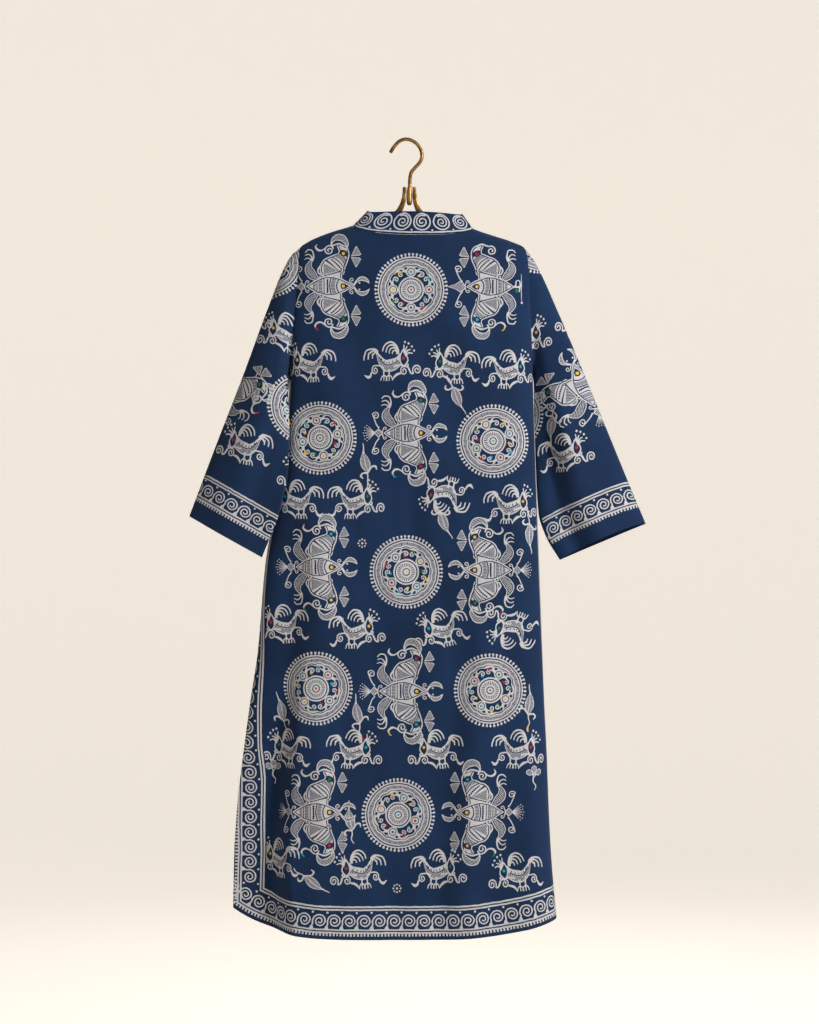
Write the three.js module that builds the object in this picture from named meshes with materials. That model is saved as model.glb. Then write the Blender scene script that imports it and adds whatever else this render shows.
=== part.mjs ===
// Long festival jacket of indigo cotton, hung flat on a brass hanger with its back to the viewer.
// Millimetres. +Z is up, -Y is the jacket's back, +X is the wearer's right.
// The origin is the inner top of the hanger's hook, where the whole thing hangs.
import * as THREE from "three";

// ---- Driving sizes ----
const CLOTH = 1.5; // wall of the cloth
const SEAM = 0.3; // clearance between two pieces at a seam
const NECK = { x: 13.3, halfWidth: 99.3, left: -140, right: -145, backDip: 15, frontDip: 66, power: 0.9 };
const COLLAR = {
  topX: 16.5, topHalfWidth: 77.5, topDepth: 0.86, // its top edge
  backRise: 39, sideRise: 25, frontRise: 38, power: 1.5, // its height, all round
  inset: 2.8, lift: 1.4, // how far its foot stands inside and above the neckline
};
const HEM = { back: -1311, front: -1305, left: { rise: 47, power: 4 }, right: { rise: 31, power: 3 } };
const SHOULDER = { left: -176, right: -178, power: 0.8 }; // heights of the shoulder tips, bow of the seam
const UNDERARM = -386;
const SLIT = -850; // height where the side seams end
const SLIT_BAR = 60; // how far below that the two edges still lie together
const ARMHOLE_DEPTH = 17; // half the depth of the armhole ring, front to back
const FRONT_GAP = { top: 5, hem: 14 }; // the open front, edge to edge
const SLIT_OPEN = { depth: 12, over: 200 }; // how far the front's edges stand back below the slits
const SIDE_ROUND = { low: 1.6, high: 2.4, from: 3, over: 5 }; // how round the body is at its side edges
const CALM_EDGE = 0.12; // share of half the body's width over which folds die away at the side edges
const NECK_SHARE = 0.56; // the neckline's share of a body panel's top edge

// How finely the pieces are divided.
const COLUMNS = { back: 26, front: 13 };
const EVEN_SHARE = 0.28; // how much of the columns' spacing is even, the rest closes up to the sides
const ROWS = { aboveUnderarm: 11, belowUnderarm: 17, power: 1.2 };
const SLEEVE_GRID = { around: 22, along: 12, power: 1.25 };
const COLLAR_ROWS = 2;

// The body as flat sections: where each side edge lies, how deep the back and front stand from the
// middle plane, and how square the section is at its sides.
const BODY = [
  { z: -134, left: -72, right: 88, back: 23, front: 20, square: 2.6 },
  { z: -140, left: -86, right: 100, back: 24, front: 21, square: 2.6 },
  { z: -150, left: -119, right: 125, back: 25, front: 22, square: 2.7 },
  { z: -158, left: -141, right: 150, back: 26, front: 23, square: 2.8 },
  { z: -166, left: -158, right: 174, back: 27, front: 23, square: 2.9 },
  { z: -177, left: -172.5, right: 196.5, back: 28, front: 24, square: 3.0 },
  { z: -200, left: -174, right: 202, back: 29, front: 25, square: 3.4 },
  { z: -290, left: -181, right: 206, back: 33, front: 27, square: 4.4 },
  { z: -386, left: -189, right: 210, back: 36, front: 28, square: 6.0 },
  { z: -493, left: -196, right: 213, back: 37, front: 28, square: 8.0 },
  { z: -592, left: -211, right: 217, back: 38, front: 28, square: 9.0 },
  { z: -700, left: -230, right: 221, back: 39, front: 28, square: 9.0 },
  { z: -840, left: -242, right: 226, back: 40, front: 29, square: 9.0 },
  { z: -922, left: -254, right: 229, back: 41, front: 29, square: 9.0 },
  { z: -1005, left: -265, right: 233, back: 42, front: 30, square: 9.0 },
  { z: -1087, left: -275, right: 236, back: 43, front: 30, square: 9.0 },
  { z: -1170, left: -281, right: 240, back: 44, front: 30, square: 9.0 },
  { z: -1311, left: -284, right: 252, back: 45, front: 31, square: 9.0 },
];

// Below its slit the back's left edge swings out flat and falls towards the wall; the step in the
// cloth beside it is the deepest fold. Each row gives the step's place, half its width and its drop.
const LEFT_FLAP = [
  { z: -500, x: -165, half: 22, drop: 0, flat: 0 },
  { z: -757, x: -169, half: 20, drop: 7, flat: 0 },
  { z: -850, x: -176, half: 19, drop: 13, flat: 0.06 },
  { z: -972, x: -188, half: 19, drop: 24, flat: 0.5 },
  { z: -1087, x: -199, half: 20, drop: 34, flat: 0.8 },
  { z: -1170, x: -204, half: 21, drop: 38, flat: 0.88 },
  { z: -1311, x: -200, half: 23, drop: 41, flat: 0.9 },
];

const FOLD_FADE = { top: 160, bottom: 60 }; // how a fold grows from its top and dies at its bottom
// Soft folds of the body. Each runs from its top to its bottom; height is towards the viewer.
const BACK_FOLDS = [
  { top: [-138, -640], bottom: [-146, -1320], half: 30, height: 6, from: -560, to: -1330 },
  { top: [125, -790], bottom: [98, -1320], half: 34, height: 8, from: -690, to: -1340 },
  { top: [84, -880], bottom: [50, -1320], half: 22, height: -5, from: -760, to: -1340 },
  { top: [158, -330], bottom: [150, -740], half: 16, height: -2.6, from: -300, to: -700 },
  { top: [18, -480], bottom: [12, -900], half: 15, height: -2.2, from: -470, to: -870 },
  { top: [-150, -260], bottom: [-163, -660], half: 16, height: -2.4, from: -240, to: -640 },
  { top: [-20, -1010], bottom: [-28, -1320], half: 40, height: -4, from: -980, to: -1340 },
  { top: [205, -930], bottom: [208, -1320], half: 24, height: 4, from: -880, to: -1340 },
];
const FRONT_FOLDS = [
  { top: [-120, -520], bottom: [-140, -1320], half: 30, height: 5, from: -460, to: -1340 },
  { top: [-60, -700], bottom: [-72, -1320], half: 26, height: -4, from: -600, to: -1340 },
  { top: [96, -600], bottom: [112, -1320], half: 28, height: 5, from: -520, to: -1340 },
  { top: [160, -820], bottom: [176, -1320], half: 22, height: -4, from: -720, to: -1340 },
];

// A sleeve is a flat tube. Each ring runs from its outer edge, below the shoulder, to its inner edge,
// below the underarm. outerY and innerY bring those edges towards the viewer (negative) or the wall,
// half is half the ring's depth, and thin is how much of that the fold at the inner edge takes away.
const LEFT_SLEEVE = [
  { s: 0, outerX: -172.5, outerZ: -176, outerY: 0, innerX: -189, innerZ: -386, innerY: 0, half: 17, thin: 0 },
  { s: 0.05, outerX: -186, outerZ: -188, outerY: 0, innerX: -193, innerZ: -402, innerY: -6, half: 18, thin: 0.3 },
  { s: 0.12, outerX: -200, outerZ: -212, outerY: -1, innerX: -192, innerZ: -424, innerY: -16, half: 19, thin: 0.6 },
  { s: 0.28, outerX: -226, outerZ: -277, outerY: -2, innerX: -190, innerZ: -471, innerY: -28, half: 21, thin: 0.8 },
  { s: 0.5, outerX: -266, outerZ: -386, outerY: -3, innerX: -191, innerZ: -536, innerY: -36, half: 21, thin: 0.8 },
  { s: 0.75, outerX: -312, outerZ: -505, outerY: -4, innerX: -205, innerZ: -610, innerY: -42, half: 19, thin: 0.75 },
  { s: 1, outerX: -355, outerZ: -619, outerY: -4, innerX: -234, innerZ: -686, innerY: -44, half: 16, thin: 0.6 },
];
const RIGHT_SLEEVE = [
  { s: 0, outerX: 196.5, outerZ: -178, outerY: 0, innerX: 210, innerZ: -386, innerY: 0, half: 17, thin: 0 },
  { s: 0.05, outerX: 211, outerZ: -196, outerY: 0, innerX: 213.4, innerZ: -402, innerY: 1, half: 18, thin: 0.1 },
  { s: 0.12, outerX: 226, outerZ: -224, outerY: 0, innerX: 214.4, innerZ: -424, innerY: 2, half: 19, thin: 0.2 },
  { s: 0.28, outerX: 253, outerZ: -285, outerY: -2, innerX: 216, innerZ: -471, innerY: 4, half: 22, thin: 0.3 },
  { s: 0.5, outerX: 301, outerZ: -400, outerY: -4, innerX: 218.6, innerZ: -538, innerY: 4, half: 23, thin: 0.3 },
  { s: 0.75, outerX: 348, outerZ: -516, outerY: -6, innerX: 222, innerZ: -614, innerY: 3, half: 22, thin: 0.3 },
  { s: 0.87, outerX: 371, outerZ: -572, outerY: -7, innerX: 233, innerZ: -652, innerY: 1, half: 21, thin: 0.3 },
  { s: 1, outerX: 396, outerZ: -632, outerY: -7, innerX: 256, innerZ: -691, innerY: -2, half: 20, thin: 0.3 },
];
// Soft folds along a sleeve, placed across its width from the outer edge (0) to the inner edge (1).
const LEFT_SLEEVE_FOLDS = [
  { across: [0.62, 0.66], half: 0.13, height: -5, from: 0.3, to: 0.98, side: -1 },
  { across: [0.3, 0.36], half: 0.14, height: 3, from: 0.2, to: 1.2, side: -1 },
  { across: [0.45, 0.5], half: 0.15, height: -4, from: 0.2, to: 1.2, side: 1 },
];
const RIGHT_SLEEVE_FOLDS = [
  { across: [0.72, 0.78], half: 0.11, height: -8, from: 0.3, to: 1.25, side: -1 },
  { across: [0.5, 0.52], half: 0.13, height: 4, from: 0.3, to: 1.25, side: -1 },
  { across: [0.45, 0.5], half: 0.15, height: -4, from: 0.2, to: 1.2, side: 1 },
];
const SLEEVE_FOLD_FADE = { top: 0.25, bottom: 0.15 };
const RIGHT_CUFF_LIFT = 0.016; // how much higher the near layer of the right cuff hangs, in sleeve lengths
const SLEEVE_EDGE = { power: 0.75, by: 0.5 }; // its edges grow sharper over this share of its length
const SLEEVE_THIN = { from: 0.45, over: 0.5 }; // where across it the fold at the inner edge thins it
// Clearance to the body's edge at the armhole, more at the underarm, and how long the sleeve follows it.
const ARMHOLE_SEAM = { clearance: 0.45, underarm: 0.75, power: 6, follow: 0.2 };

// The hanger: a round wire hook, a ferrule, and two flat arms that part like a wishbone.
const HOOK = { radius: 3, sides: 10, steps: 44 };
const HOOK_LINE = [
  [-23, -17], [-17, -8], [-9.5, -0.5], [0, 3], [10, 1.5], [19.5, -4.5], [26, -14], [28, -25],
  [24.5, -35], [17, -43.5], [10.8, -51], [8.4, -60], [7.6, -75.6],
];
const FERRULE = { x: 7.2, top: -76, length: 30, radius: 4.6, sides: 20 };
const ARM_THICK = 6;
const LEFT_ARM = [
  { x: -0.7, z: -76, width: 6 },
  { x: -1.4, z: -92, width: 7.4 },
  { x: -5, z: -106, width: 8.6 },
  { x: -13, z: -119, width: 10 },
  { x: -32, z: -133, width: 11 },
  { x: -60, z: -144, width: 9 },
];
const RIGHT_ARM = [
  { x: 15.1, z: -76, width: 6 },
  { x: 15.8, z: -92, width: 7.4 },
  { x: 19, z: -106, width: 8.6 },
  { x: 26, z: -119, width: 10 },
  { x: 46, z: -134, width: 11 },
  { x: 82, z: -147.5, width: 9 },
];
// Past the neck each arm runs just under the shoulder seam, from one height of the seam to another.
const ARM_ON_SHOULDER = { width: 9, below: 7.8, stations: 6, left: [-147, -170], right: [-152, -172] };

// ---- Small helpers ----
const clamp = (t, low = 0, high = 1) => Math.min(high, Math.max(low, t));
const mix = (a, b, t) => a + (b - a) * t;
const smooth = (t) => clamp(t) ** 2 * (3 - 2 * clamp(t));

// A column of a table as a smooth curve over its key, which never overshoots between two rows.
function along(table, key, column, at) {
  const down = table[1][key] < table[0][key] ? -1 : 1;
  const k = table.map((row) => row[key] * down);
  const v = table.map((row) => row[column]);
  const x = clamp(at * down, k[0], k[k.length - 1]);
  let i = 0;
  while (i < k.length - 2 && x > k[i + 1]) i++;
  const rise = (j) => (v[j + 1] - v[j]) / (k[j + 1] - k[j]);
  const slope = (j) => {
    if (j === 0) return rise(0);
    if (j === k.length - 1) return rise(j - 1);
    const a = rise(j - 1);
    const b = rise(j);
    return a * b <= 0 ? 0 : (2 * a * b) / (a + b);
  };
  const span = k[i + 1] - k[i];
  const t = (x - k[i]) / span;
  return (
    (1 + 2 * t) * (1 - t) ** 2 * v[i] +
    t * (1 - t) ** 2 * span * slope(i) +
    t * t * (3 - 2 * t) * v[i + 1] +
    t * t * (t - 1) * span * slope(i + 1)
  );
}

// Turns a grid of middle points into a closed wall: half the cloth to each side along the normals.
// outward is 1 where across x down already points out of the garment, and -1 where it points in.
// trim(normal, i, j) turns the normals along a seam, so that two pieces meet there edge to edge.
function wall(grid, { ring = false, outward, trim = () => {} }) {
  const rows = grid.length;
  const cols = grid[0].length;
  const at = (i, j) => grid[clamp(i, 0, rows - 1)][ring ? (j + cols) % cols : clamp(j, 0, cols - 1)];
  const outer = [];
  const inner = [];
  for (let i = 0; i < rows; i++) {
    for (let j = 0; j < cols; j++) {
      const across = at(i, j + 1).clone().sub(at(i, j - 1));
      const down = at(i + 1, j).clone().sub(at(i - 1, j));
      const normal = across.cross(down).multiplyScalar(outward);
      trim(normal, i, j);
      normal.normalize().multiplyScalar(CLOTH / 2);
      outer.push(at(i, j).clone().add(normal));
      inner.push(at(i, j).clone().sub(normal));
    }
  }
  const points = [...outer, ...inner];
  const faces = [];
  const quad = (a, b, c, d) => faces.push(...(outward > 0 ? [a, b, c, a, c, d] : [a, c, b, a, d, c]));
  const number = (i, j, side) => side * rows * cols + i * cols + (ring ? j % cols : j);
  const lastCol = ring ? cols : cols - 1;
  for (let i = 0; i < rows - 1; i++) {
    for (let j = 0; j < lastCol; j++) {
      quad(number(i, j, 0), number(i, j + 1, 0), number(i + 1, j + 1, 0), number(i + 1, j, 0));
      quad(number(i, j, 1), number(i + 1, j, 1), number(i + 1, j + 1, 1), number(i, j + 1, 1));
    }
  }
  for (let j = 0; j < lastCol; j++) {
    quad(number(0, j, 0), number(0, j, 1), number(0, j + 1, 1), number(0, j + 1, 0));
    const i = rows - 1;
    quad(number(i, j, 0), number(i, j + 1, 0), number(i, j + 1, 1), number(i, j, 1));
  }
  for (let i = 0; i < rows - 1 && !ring; i++) {
    quad(number(i, 0, 0), number(i + 1, 0, 0), number(i + 1, 0, 1), number(i, 0, 1));
    const j = cols - 1;
    quad(number(i, j, 0), number(i, j, 1), number(i + 1, j, 1), number(i + 1, j, 0));
  }
  const geometry = new THREE.BufferGeometry().setFromPoints(points);
  geometry.setIndex(faces);
  return geometry;
}

// ---- The body's surface ----
// across is -1 at the left side edge and 1 at the right one; side is -1 for the back, 1 for the front.
function folds(table, x, z) {
  return table.reduce((sum, f) => {
    const middle = mix(f.top[0], f.bottom[0], (z - f.top[1]) / (f.bottom[1] - f.top[1]));
    const fade = Math.min(1, (f.from - z) / FOLD_FADE.top, (z - f.to) / FOLD_FADE.bottom);
    return sum + f.height * smooth(fade) * Math.exp(-(((x - middle) / f.half) ** 2));
  }, 0);
}

// Half the depth of the armhole ring: nothing above the shoulder tip or below the underarm.
function armholeDepth(z, across) {
  const top = across < 0 ? SHOULDER.left : SHOULDER.right;
  const t = (2 * z - top - UNDERARM) / (top - UNDERARM);
  return Math.abs(t) < 1 ? ARMHOLE_DEPTH * Math.sqrt(1 - t * t) : 0;
}

function bodyPoint(across, z, side) {
  const left = along(BODY, "z", "left", z);
  const right = along(BODY, "z", "right", z);
  const x = mix(left, right, (across + 1) / 2);
  const square = along(BODY, "z", "square", z);
  const roundness = mix(SIDE_ROUND.low, SIDE_ROUND.high, smooth((square - SIDE_ROUND.from) / SIDE_ROUND.over));
  const bulge = Math.max(0, 1 - Math.abs(across) ** square) ** (1 / roundness);
  const deep = along(BODY, "z", side < 0 ? "back" : "front", z);
  const calm = smooth((1 - Math.abs(across)) / CALM_EDGE);
  if (side > 0) {
    // Below the slits the front's edges stay back, near the wall.
    const edge = Math.max(armholeDepth(z, across), SLIT_OPEN.depth * smooth((SLIT - z) / SLIT_OPEN.over));
    return new THREE.Vector3(x, edge + (deep - edge) * bulge + calm * folds(FRONT_FOLDS, x, z) + SEAM / 2, z);
  }
  const edge = armholeDepth(z, across);
  const reach = mix(bulge, 1, across < 0 ? along(LEFT_FLAP, "z", "flat", z) : 0);
  const step = (along(LEFT_FLAP, "z", "x", z) - x) / along(LEFT_FLAP, "z", "half", z);
  const drop = along(LEFT_FLAP, "z", "drop", z) * smooth((step + 1) / 2) * reach;
  const y = drop - edge - (deep - edge) * reach - calm * folds(BACK_FOLDS, x, z) - SEAM / 2;
  return new THREE.Vector3(x, y, z);
}

function acrossAt(x, z) {
  const left = along(BODY, "z", "left", z);
  const right = along(BODY, "z", "right", z);
  return clamp((2 * (x - left)) / (right - left) - 1, -1, 1);
}

// sweep runs from -1 at the left neck point to 1 at the right one, through the centre back or front.
function neckline(sweep, side) {
  const x = NECK.x + NECK.halfWidth * Math.sin((sweep * Math.PI) / 2);
  const level = mix(NECK.left, NECK.right, (sweep + 1) / 2);
  const dip = (side < 0 ? NECK.backDip : NECK.frontDip) * Math.cos((sweep * Math.PI) / 2) ** NECK.power;
  return { x, z: level - dip };
}

// The top edge of a body panel: the neckline up to NECK_SHARE of its width, then the shoulder seam.
function topEdge(place, side) {
  if (Math.abs(place) >= NECK_SHARE) {
    const t = (1 - Math.abs(place)) / (1 - NECK_SHARE);
    const [tip, neck] = place < 0 ? [SHOULDER.left, NECK.left] : [SHOULDER.right, NECK.right];
    return { across: Math.sign(place), z: mix(tip, neck, t ** SHOULDER.power) };
  }
  const { x, z } = neckline(place / NECK_SHARE, side);
  return { across: acrossAt(x, z), z };
}

function hemHeight(place, side) {
  const { rise, power } = place < 0 ? HEM.left : HEM.right;
  return (side < 0 ? HEM.back : HEM.front) + rise * Math.abs(place) ** power;
}

// One column of a body panel, from its top edge past the underarm's level to the hem.
function bodyColumn(place, side, target) {
  const top = topEdge(place, side);
  const column = [];
  for (let i = 0; i <= ROWS.aboveUnderarm; i++) {
    const t = i / ROWS.aboveUnderarm;
    const z = mix(top.z, UNDERARM, (1 - Math.cos(t ** ROWS.power * Math.PI)) / 2);
    column.push(bodyPoint(mix(top.across, target(z), 1 - (1 - t) ** 2), z, side));
  }
  for (let i = 1; i <= ROWS.belowUnderarm; i++) {
    const z = mix(UNDERARM, hemHeight(place, side), i / ROWS.belowUnderarm);
    column.push(bodyPoint(target(z), z, side));
  }
  return column;
}

// A panel from its columns; places says where each one is, and the seams' normals are set square.
function bodyPanel(columns, places, outward) {
  const grid = columns[0].map((_, i) => columns.map((column) => column[i]));
  const trim = (normal, i, j) => {
    const atSide = Math.abs(places[j]) > 1 - 1e-9;
    if (i === 0 && atSide) normal.set(0, 0, 1);
    else if (i === 0 && Math.abs(places[j]) >= NECK_SHARE) normal.y = 0;
    else if (atSide && i < ROWS.aboveUnderarm) normal.x = 0;
    else if (atSide && grid[i][j].z > SLIT - SLIT_BAR) normal.y = 0;
  };
  return wall(grid, { outward, trim });
}

// Places across a panel, closer together towards the side edges, where the section turns. The one
// nearest to the end of the neckline is put exactly there.
const spread = (u) => mix(Math.sin((u * Math.PI) / 2), u, EVEN_SHARE);
function placesAcross(values) {
  const off = values.map((place) => Math.abs(Math.abs(place) - NECK_SHARE));
  return values.map((place, j) => {
    const nearest = off[j] <= Math.min(off[j - 1] ?? 1, off[j + 1] ?? 1) && off[j] < 0.1;
    return nearest ? Math.sign(place) * NECK_SHARE : place;
  });
}
const BACK_PLACES = placesAcross(
  Array.from({ length: COLUMNS.back + 1 }, (_, j) => spread((2 * j) / COLUMNS.back - 1)),
);
const NECK_START = (NECK_SHARE * 2 * Math.asin(FRONT_GAP.top / 2 / NECK.halfWidth)) / Math.PI;
const FRONT_SHARES = Array.from({ length: COLUMNS.front + 1 }, (_, j) => spread(j / COLUMNS.front));
const FRONT_PLACES = placesAcross(FRONT_SHARES.map((share) => mix(NECK_START, 1, share)));

function backPanel() {
  return bodyPanel(BACK_PLACES.map((place) => bodyColumn(place, -1, () => place)), BACK_PLACES, -1);
}

// hand is -1 for the panel at the viewer's left and 1 for the one at the right.
function frontPanel(hand) {
  const openEdge = (z) => {
    const gap = mix(FRONT_GAP.top, FRONT_GAP.hem, smooth((NECK.left - z) / (NECK.left - HEM.front)));
    return acrossAt(NECK.x + (hand * gap) / 2, z);
  };
  const places = FRONT_PLACES.map((place) => hand * place);
  const columns = places.map((place, j) => bodyColumn(place, 1, (z) => mix(openEdge(z), hand, FRONT_SHARES[j])));
  return bodyPanel(columns, places, hand);
}

// ---- Sleeves ----
// turn goes once round the tube: 0 at the outer edge, 0.5 at the inner one, the near layer first.
function sleevePoint(rows, creases, hand, lift, s, turn) {
  const angle = turn * 2 * Math.PI;
  const near = Math.sin(angle) > 0;
  const at = s - (near ? lift * Math.sin(angle) * smooth(s) : 0);
  const value = (column) => along(rows, "s", column, at);
  const p = (1 - Math.cos(angle)) / 2;
  const x = mix(value("outerX"), value("innerX"), p);
  const z = mix(value("outerZ"), value("innerZ"), p);
  const power = mix(1, SLEEVE_EDGE.power, smooth(s / SLEEVE_EDGE.by));
  const depth = value("half") * Math.abs(Math.sin(angle)) ** power;
  const layer = depth * (1 - value("thin") * smooth((p - SLEEVE_THIN.from) / SLEEVE_THIN.over));
  const crease = creases.reduce((sum, f) => {
    const middle = mix(f.across[0], f.across[1], clamp((s - f.from) / (1 - f.from)));
    const grow = smooth(Math.min((s - f.from) / SLEEVE_FOLD_FADE.top, (f.to - s) / SLEEVE_FOLD_FADE.bottom));
    const fade = grow * Math.sqrt(Math.abs(Math.sin(angle)));
    return f.side === (near ? -1 : 1) ? sum + f.height * fade * Math.exp(-(((p - middle) / f.half) ** 2)) : sum;
  }, 0);
  const y = mix(value("outerY"), value("innerY"), p) + (near ? -1 : 1) * (layer + crease);
  // Next to the armhole the ring keeps to the body's edge, a seam's clearance away from it.
  const seamZ = mix(rows[0].outerZ, rows[0].innerZ, p);
  const { clearance, underarm, power: late, follow } = ARMHOLE_SEAM;
  const edgeX = along(BODY, "z", hand < 0 ? "left" : "right", seamZ);
  const seamX = edgeX + hand * (clearance + underarm * p ** late);
  const shift = (seamX - mix(rows[0].outerX, rows[0].innerX, p)) * clamp(1 - s / follow);
  return new THREE.Vector3(x + shift, y, z);
}

function sleeve(rows, creases, hand, lift) {
  const grid = [];
  for (let i = 0; i <= SLEEVE_GRID.along; i++) {
    const s = (i / SLEEVE_GRID.along) ** SLEEVE_GRID.power;
    const ring = [];
    for (let j = 0; j < SLEEVE_GRID.around; j++) {
      ring.push(sleevePoint(rows, creases, hand, lift, s, j / SLEEVE_GRID.around));
    }
    grid.push(ring);
  }
  const trim = (normal, i) => {
    if (i === 0) normal.x = 0;
  };
  return wall(grid, { ring: true, outward: -hand, trim });
}

// ---- Collar ----
// sweep and side say where along the neckline, up goes from its foot (0) to its top edge (1).
function collarPoint(sweep, side, up) {
  const foot = neckline(sweep, side);
  const y = bodyPoint(acrossAt(foot.x, foot.z), foot.z, side).y;
  const middle = Math.cos((sweep * Math.PI) / 2) ** COLLAR.power;
  const rise = mix(COLLAR.sideRise, side < 0 ? COLLAR.backRise : COLLAR.frontRise, middle);
  const out = (foot.x - NECK.x) / NECK.halfWidth;
  return new THREE.Vector3(
    mix(NECK.x + (NECK.halfWidth - COLLAR.inset) * out, COLLAR.topX + COLLAR.topHalfWidth * out, up),
    y * mix(1, COLLAR.topDepth, up),
    foot.z + mix(COLLAR.lift, rise, up),
  );
}

// The collar's columns stand over those of the panels: front, round the back, and front again.
function collar() {
  const sweeps = (places) => places.filter((place) => Math.abs(place) <= NECK_SHARE).map((p) => p / NECK_SHARE);
  const front = sweeps(FRONT_PLACES);
  const columns = [
    ...front.slice(0, -1).map((sweep) => [-sweep, 1]),
    ...sweeps(BACK_PLACES).map((sweep) => [sweep, -1]),
    ...front.slice(0, -1).reverse().map((sweep) => [sweep, 1]),
  ];
  const grid = [];
  for (let i = 0; i <= COLLAR_ROWS; i++) {
    grid.push(columns.map(([sweep, side]) => collarPoint(sweep, side, 1 - i / COLLAR_ROWS)));
  }
  return wall(grid, { outward: -1 });
}

// ---- Hanger ----
function hook() {
  const line = new THREE.CatmullRomCurve3(HOOK_LINE.map(([x, z]) => new THREE.Vector3(x, 0, z)));
  const section = new THREE.Shape(
    Array.from({ length: HOOK.sides }, (_, k) => {
      const angle = (k / HOOK.sides) * 2 * Math.PI;
      return new THREE.Vector2(HOOK.radius * Math.cos(angle), HOOK.radius * Math.sin(angle));
    }),
  );
  return new THREE.ExtrudeGeometry(section, { extrudePath: line, steps: HOOK.steps, bevelEnabled: false });
}

function ferrule() {
  const { radius, length, sides, x, top } = FERRULE;
  return new THREE.CylinderGeometry(radius, radius, length, sides)
    .rotateX(Math.PI / 2)
    .translate(x, 0, top - length / 2);
}

// A flat bar: the stations' widths set off to both sides of their line, extruded through its thickness.
function arm(rows, hand) {
  const [from, to] = hand < 0 ? ARM_ON_SHOULDER.left : ARM_ON_SHOULDER.right;
  const seam = (z) => new THREE.Vector2(along(BODY, "z", hand < 0 ? "left" : "right", z), z);
  const stations = rows.map(({ x, z, width }) => ({ at: new THREE.Vector2(x, z), width }));
  for (let k = 0; k <= ARM_ON_SHOULDER.stations; k++) {
    const z = mix(from, to, k / ARM_ON_SHOULDER.stations);
    const run = seam(z - 1).sub(seam(z + 1)).normalize();
    const under = new THREE.Vector2(run.y * hand, -run.x * hand).multiplyScalar(ARM_ON_SHOULDER.below);
    stations.push({ at: seam(z).add(under), width: ARM_ON_SHOULDER.width });
  }
  const edge = (sign) => stations.map(({ at, width }, k) => {
    const next = stations[Math.min(k + 1, stations.length - 1)].at;
    const before = stations[Math.max(k - 1, 0)].at;
    const run = next.clone().sub(before).normalize();
    return at.clone().add(new THREE.Vector2(-run.y, run.x).multiplyScalar((sign * width) / 2));
  });
  const outline = new THREE.Shape([...edge(1), ...edge(-1).reverse()]);
  return new THREE.ExtrudeGeometry(outline, { depth: ARM_THICK, bevelEnabled: false })
    .rotateX(Math.PI / 2)
    .translate(0, ARM_THICK / 2, 0);
}

// ---- The whole ----
const cotton = new THREE.MeshStandardMaterial({ color: 0x1b365a, roughness: 0.85, metalness: 0 });
const brass = new THREE.MeshStandardMaterial({ color: 0xb38b4d, roughness: 0.35, metalness: 1 });

const group = new THREE.Group();
function add(name, geometry, material) {
  const mesh = new THREE.Mesh(geometry, material);
  mesh.name = name;
  group.add(mesh);
}

add("back", backPanel(), cotton);
add("front_left", frontPanel(-1), cotton);
add("front_right", frontPanel(1), cotton);
add("sleeve_left", sleeve(LEFT_SLEEVE, LEFT_SLEEVE_FOLDS, -1, 0), cotton);
add("sleeve_right", sleeve(RIGHT_SLEEVE, RIGHT_SLEEVE_FOLDS, 1, RIGHT_CUFF_LIFT), cotton);
add("collar", collar(), cotton);
add("hanger_hook", hook(), brass);
add("hanger_ferrule", ferrule(), brass);
add("hanger_arm_left", arm(LEFT_ARM, -1), brass);
add("hanger_arm_right", arm(RIGHT_ARM, 1), brass);

export default group;
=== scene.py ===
"""A long festival jacket of indigo cotton with a white wax-resist print, hung on a brass hanger.

The origin is the inner top of the hanger's hook, +Z is up and -Y is the jacket's back. Sizes are in
millimetres until a mesh is made. Each piece of cloth is a surface worked out from a few tables, and
its print is drawn flat, on the cloth as it was cut, and carried by that surface into its folds.
"""
import math

import bmesh
import bpy
import numpy as np
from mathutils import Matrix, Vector
from mathutils.geometry import delaunay_2d_cdt


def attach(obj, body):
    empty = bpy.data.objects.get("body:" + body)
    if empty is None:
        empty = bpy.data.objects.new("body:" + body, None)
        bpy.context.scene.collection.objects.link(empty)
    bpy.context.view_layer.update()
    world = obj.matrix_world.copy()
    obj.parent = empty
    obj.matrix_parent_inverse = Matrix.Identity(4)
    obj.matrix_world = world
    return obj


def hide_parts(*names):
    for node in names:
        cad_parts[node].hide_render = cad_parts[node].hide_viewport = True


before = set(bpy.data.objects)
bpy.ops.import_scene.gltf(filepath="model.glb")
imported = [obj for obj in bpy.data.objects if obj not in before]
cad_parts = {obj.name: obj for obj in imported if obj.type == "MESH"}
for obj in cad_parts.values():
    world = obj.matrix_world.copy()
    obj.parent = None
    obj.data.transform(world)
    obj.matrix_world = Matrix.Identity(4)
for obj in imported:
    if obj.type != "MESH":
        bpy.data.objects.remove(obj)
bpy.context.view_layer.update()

MM = 0.001
TURN = 2 * math.pi


# ---- The camera, the stage and the lights ----
CAMERA = {"x": 7.4, "y": -4200, "z": -612, "frame_height": 1689.6}
ROOM = {"radius": 7000, "floor": -1900, "height": 8000, "fillet": 2600}


def make_camera():
    """The camera stands level with the jacket's middle, square to its back."""
    data = bpy.data.cameras.new("camera")
    data.angle = 2 * math.atan(CAMERA["frame_height"] / 2 / -CAMERA["y"])
    data.clip_end = 100
    camera = bpy.data.objects.new("camera", data)
    bpy.context.scene.collection.objects.link(camera)
    camera.location = Vector((CAMERA["x"], CAMERA["y"], CAMERA["z"])) * MM
    camera.rotation_euler = (math.pi / 2, 0, 0)
    bpy.context.scene.camera = camera


make_camera()


# ---- Small helpers ----
def mix(a, b, t):
    """a where t is 0, b where it is 1, and straight between."""
    return a + (b - a) * t


def smooth(t):
    """0 below 0, 1 above 1, and 3t2 - 2t3 between."""
    t = np.clip(t, 0.0, 1.0)
    return t * t * (3 - 2 * t)


def table(names, *rows):
    """A table with named columns, as one array for each column."""
    return dict(zip(names.split(), np.array(rows, dtype=float).T))


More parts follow.
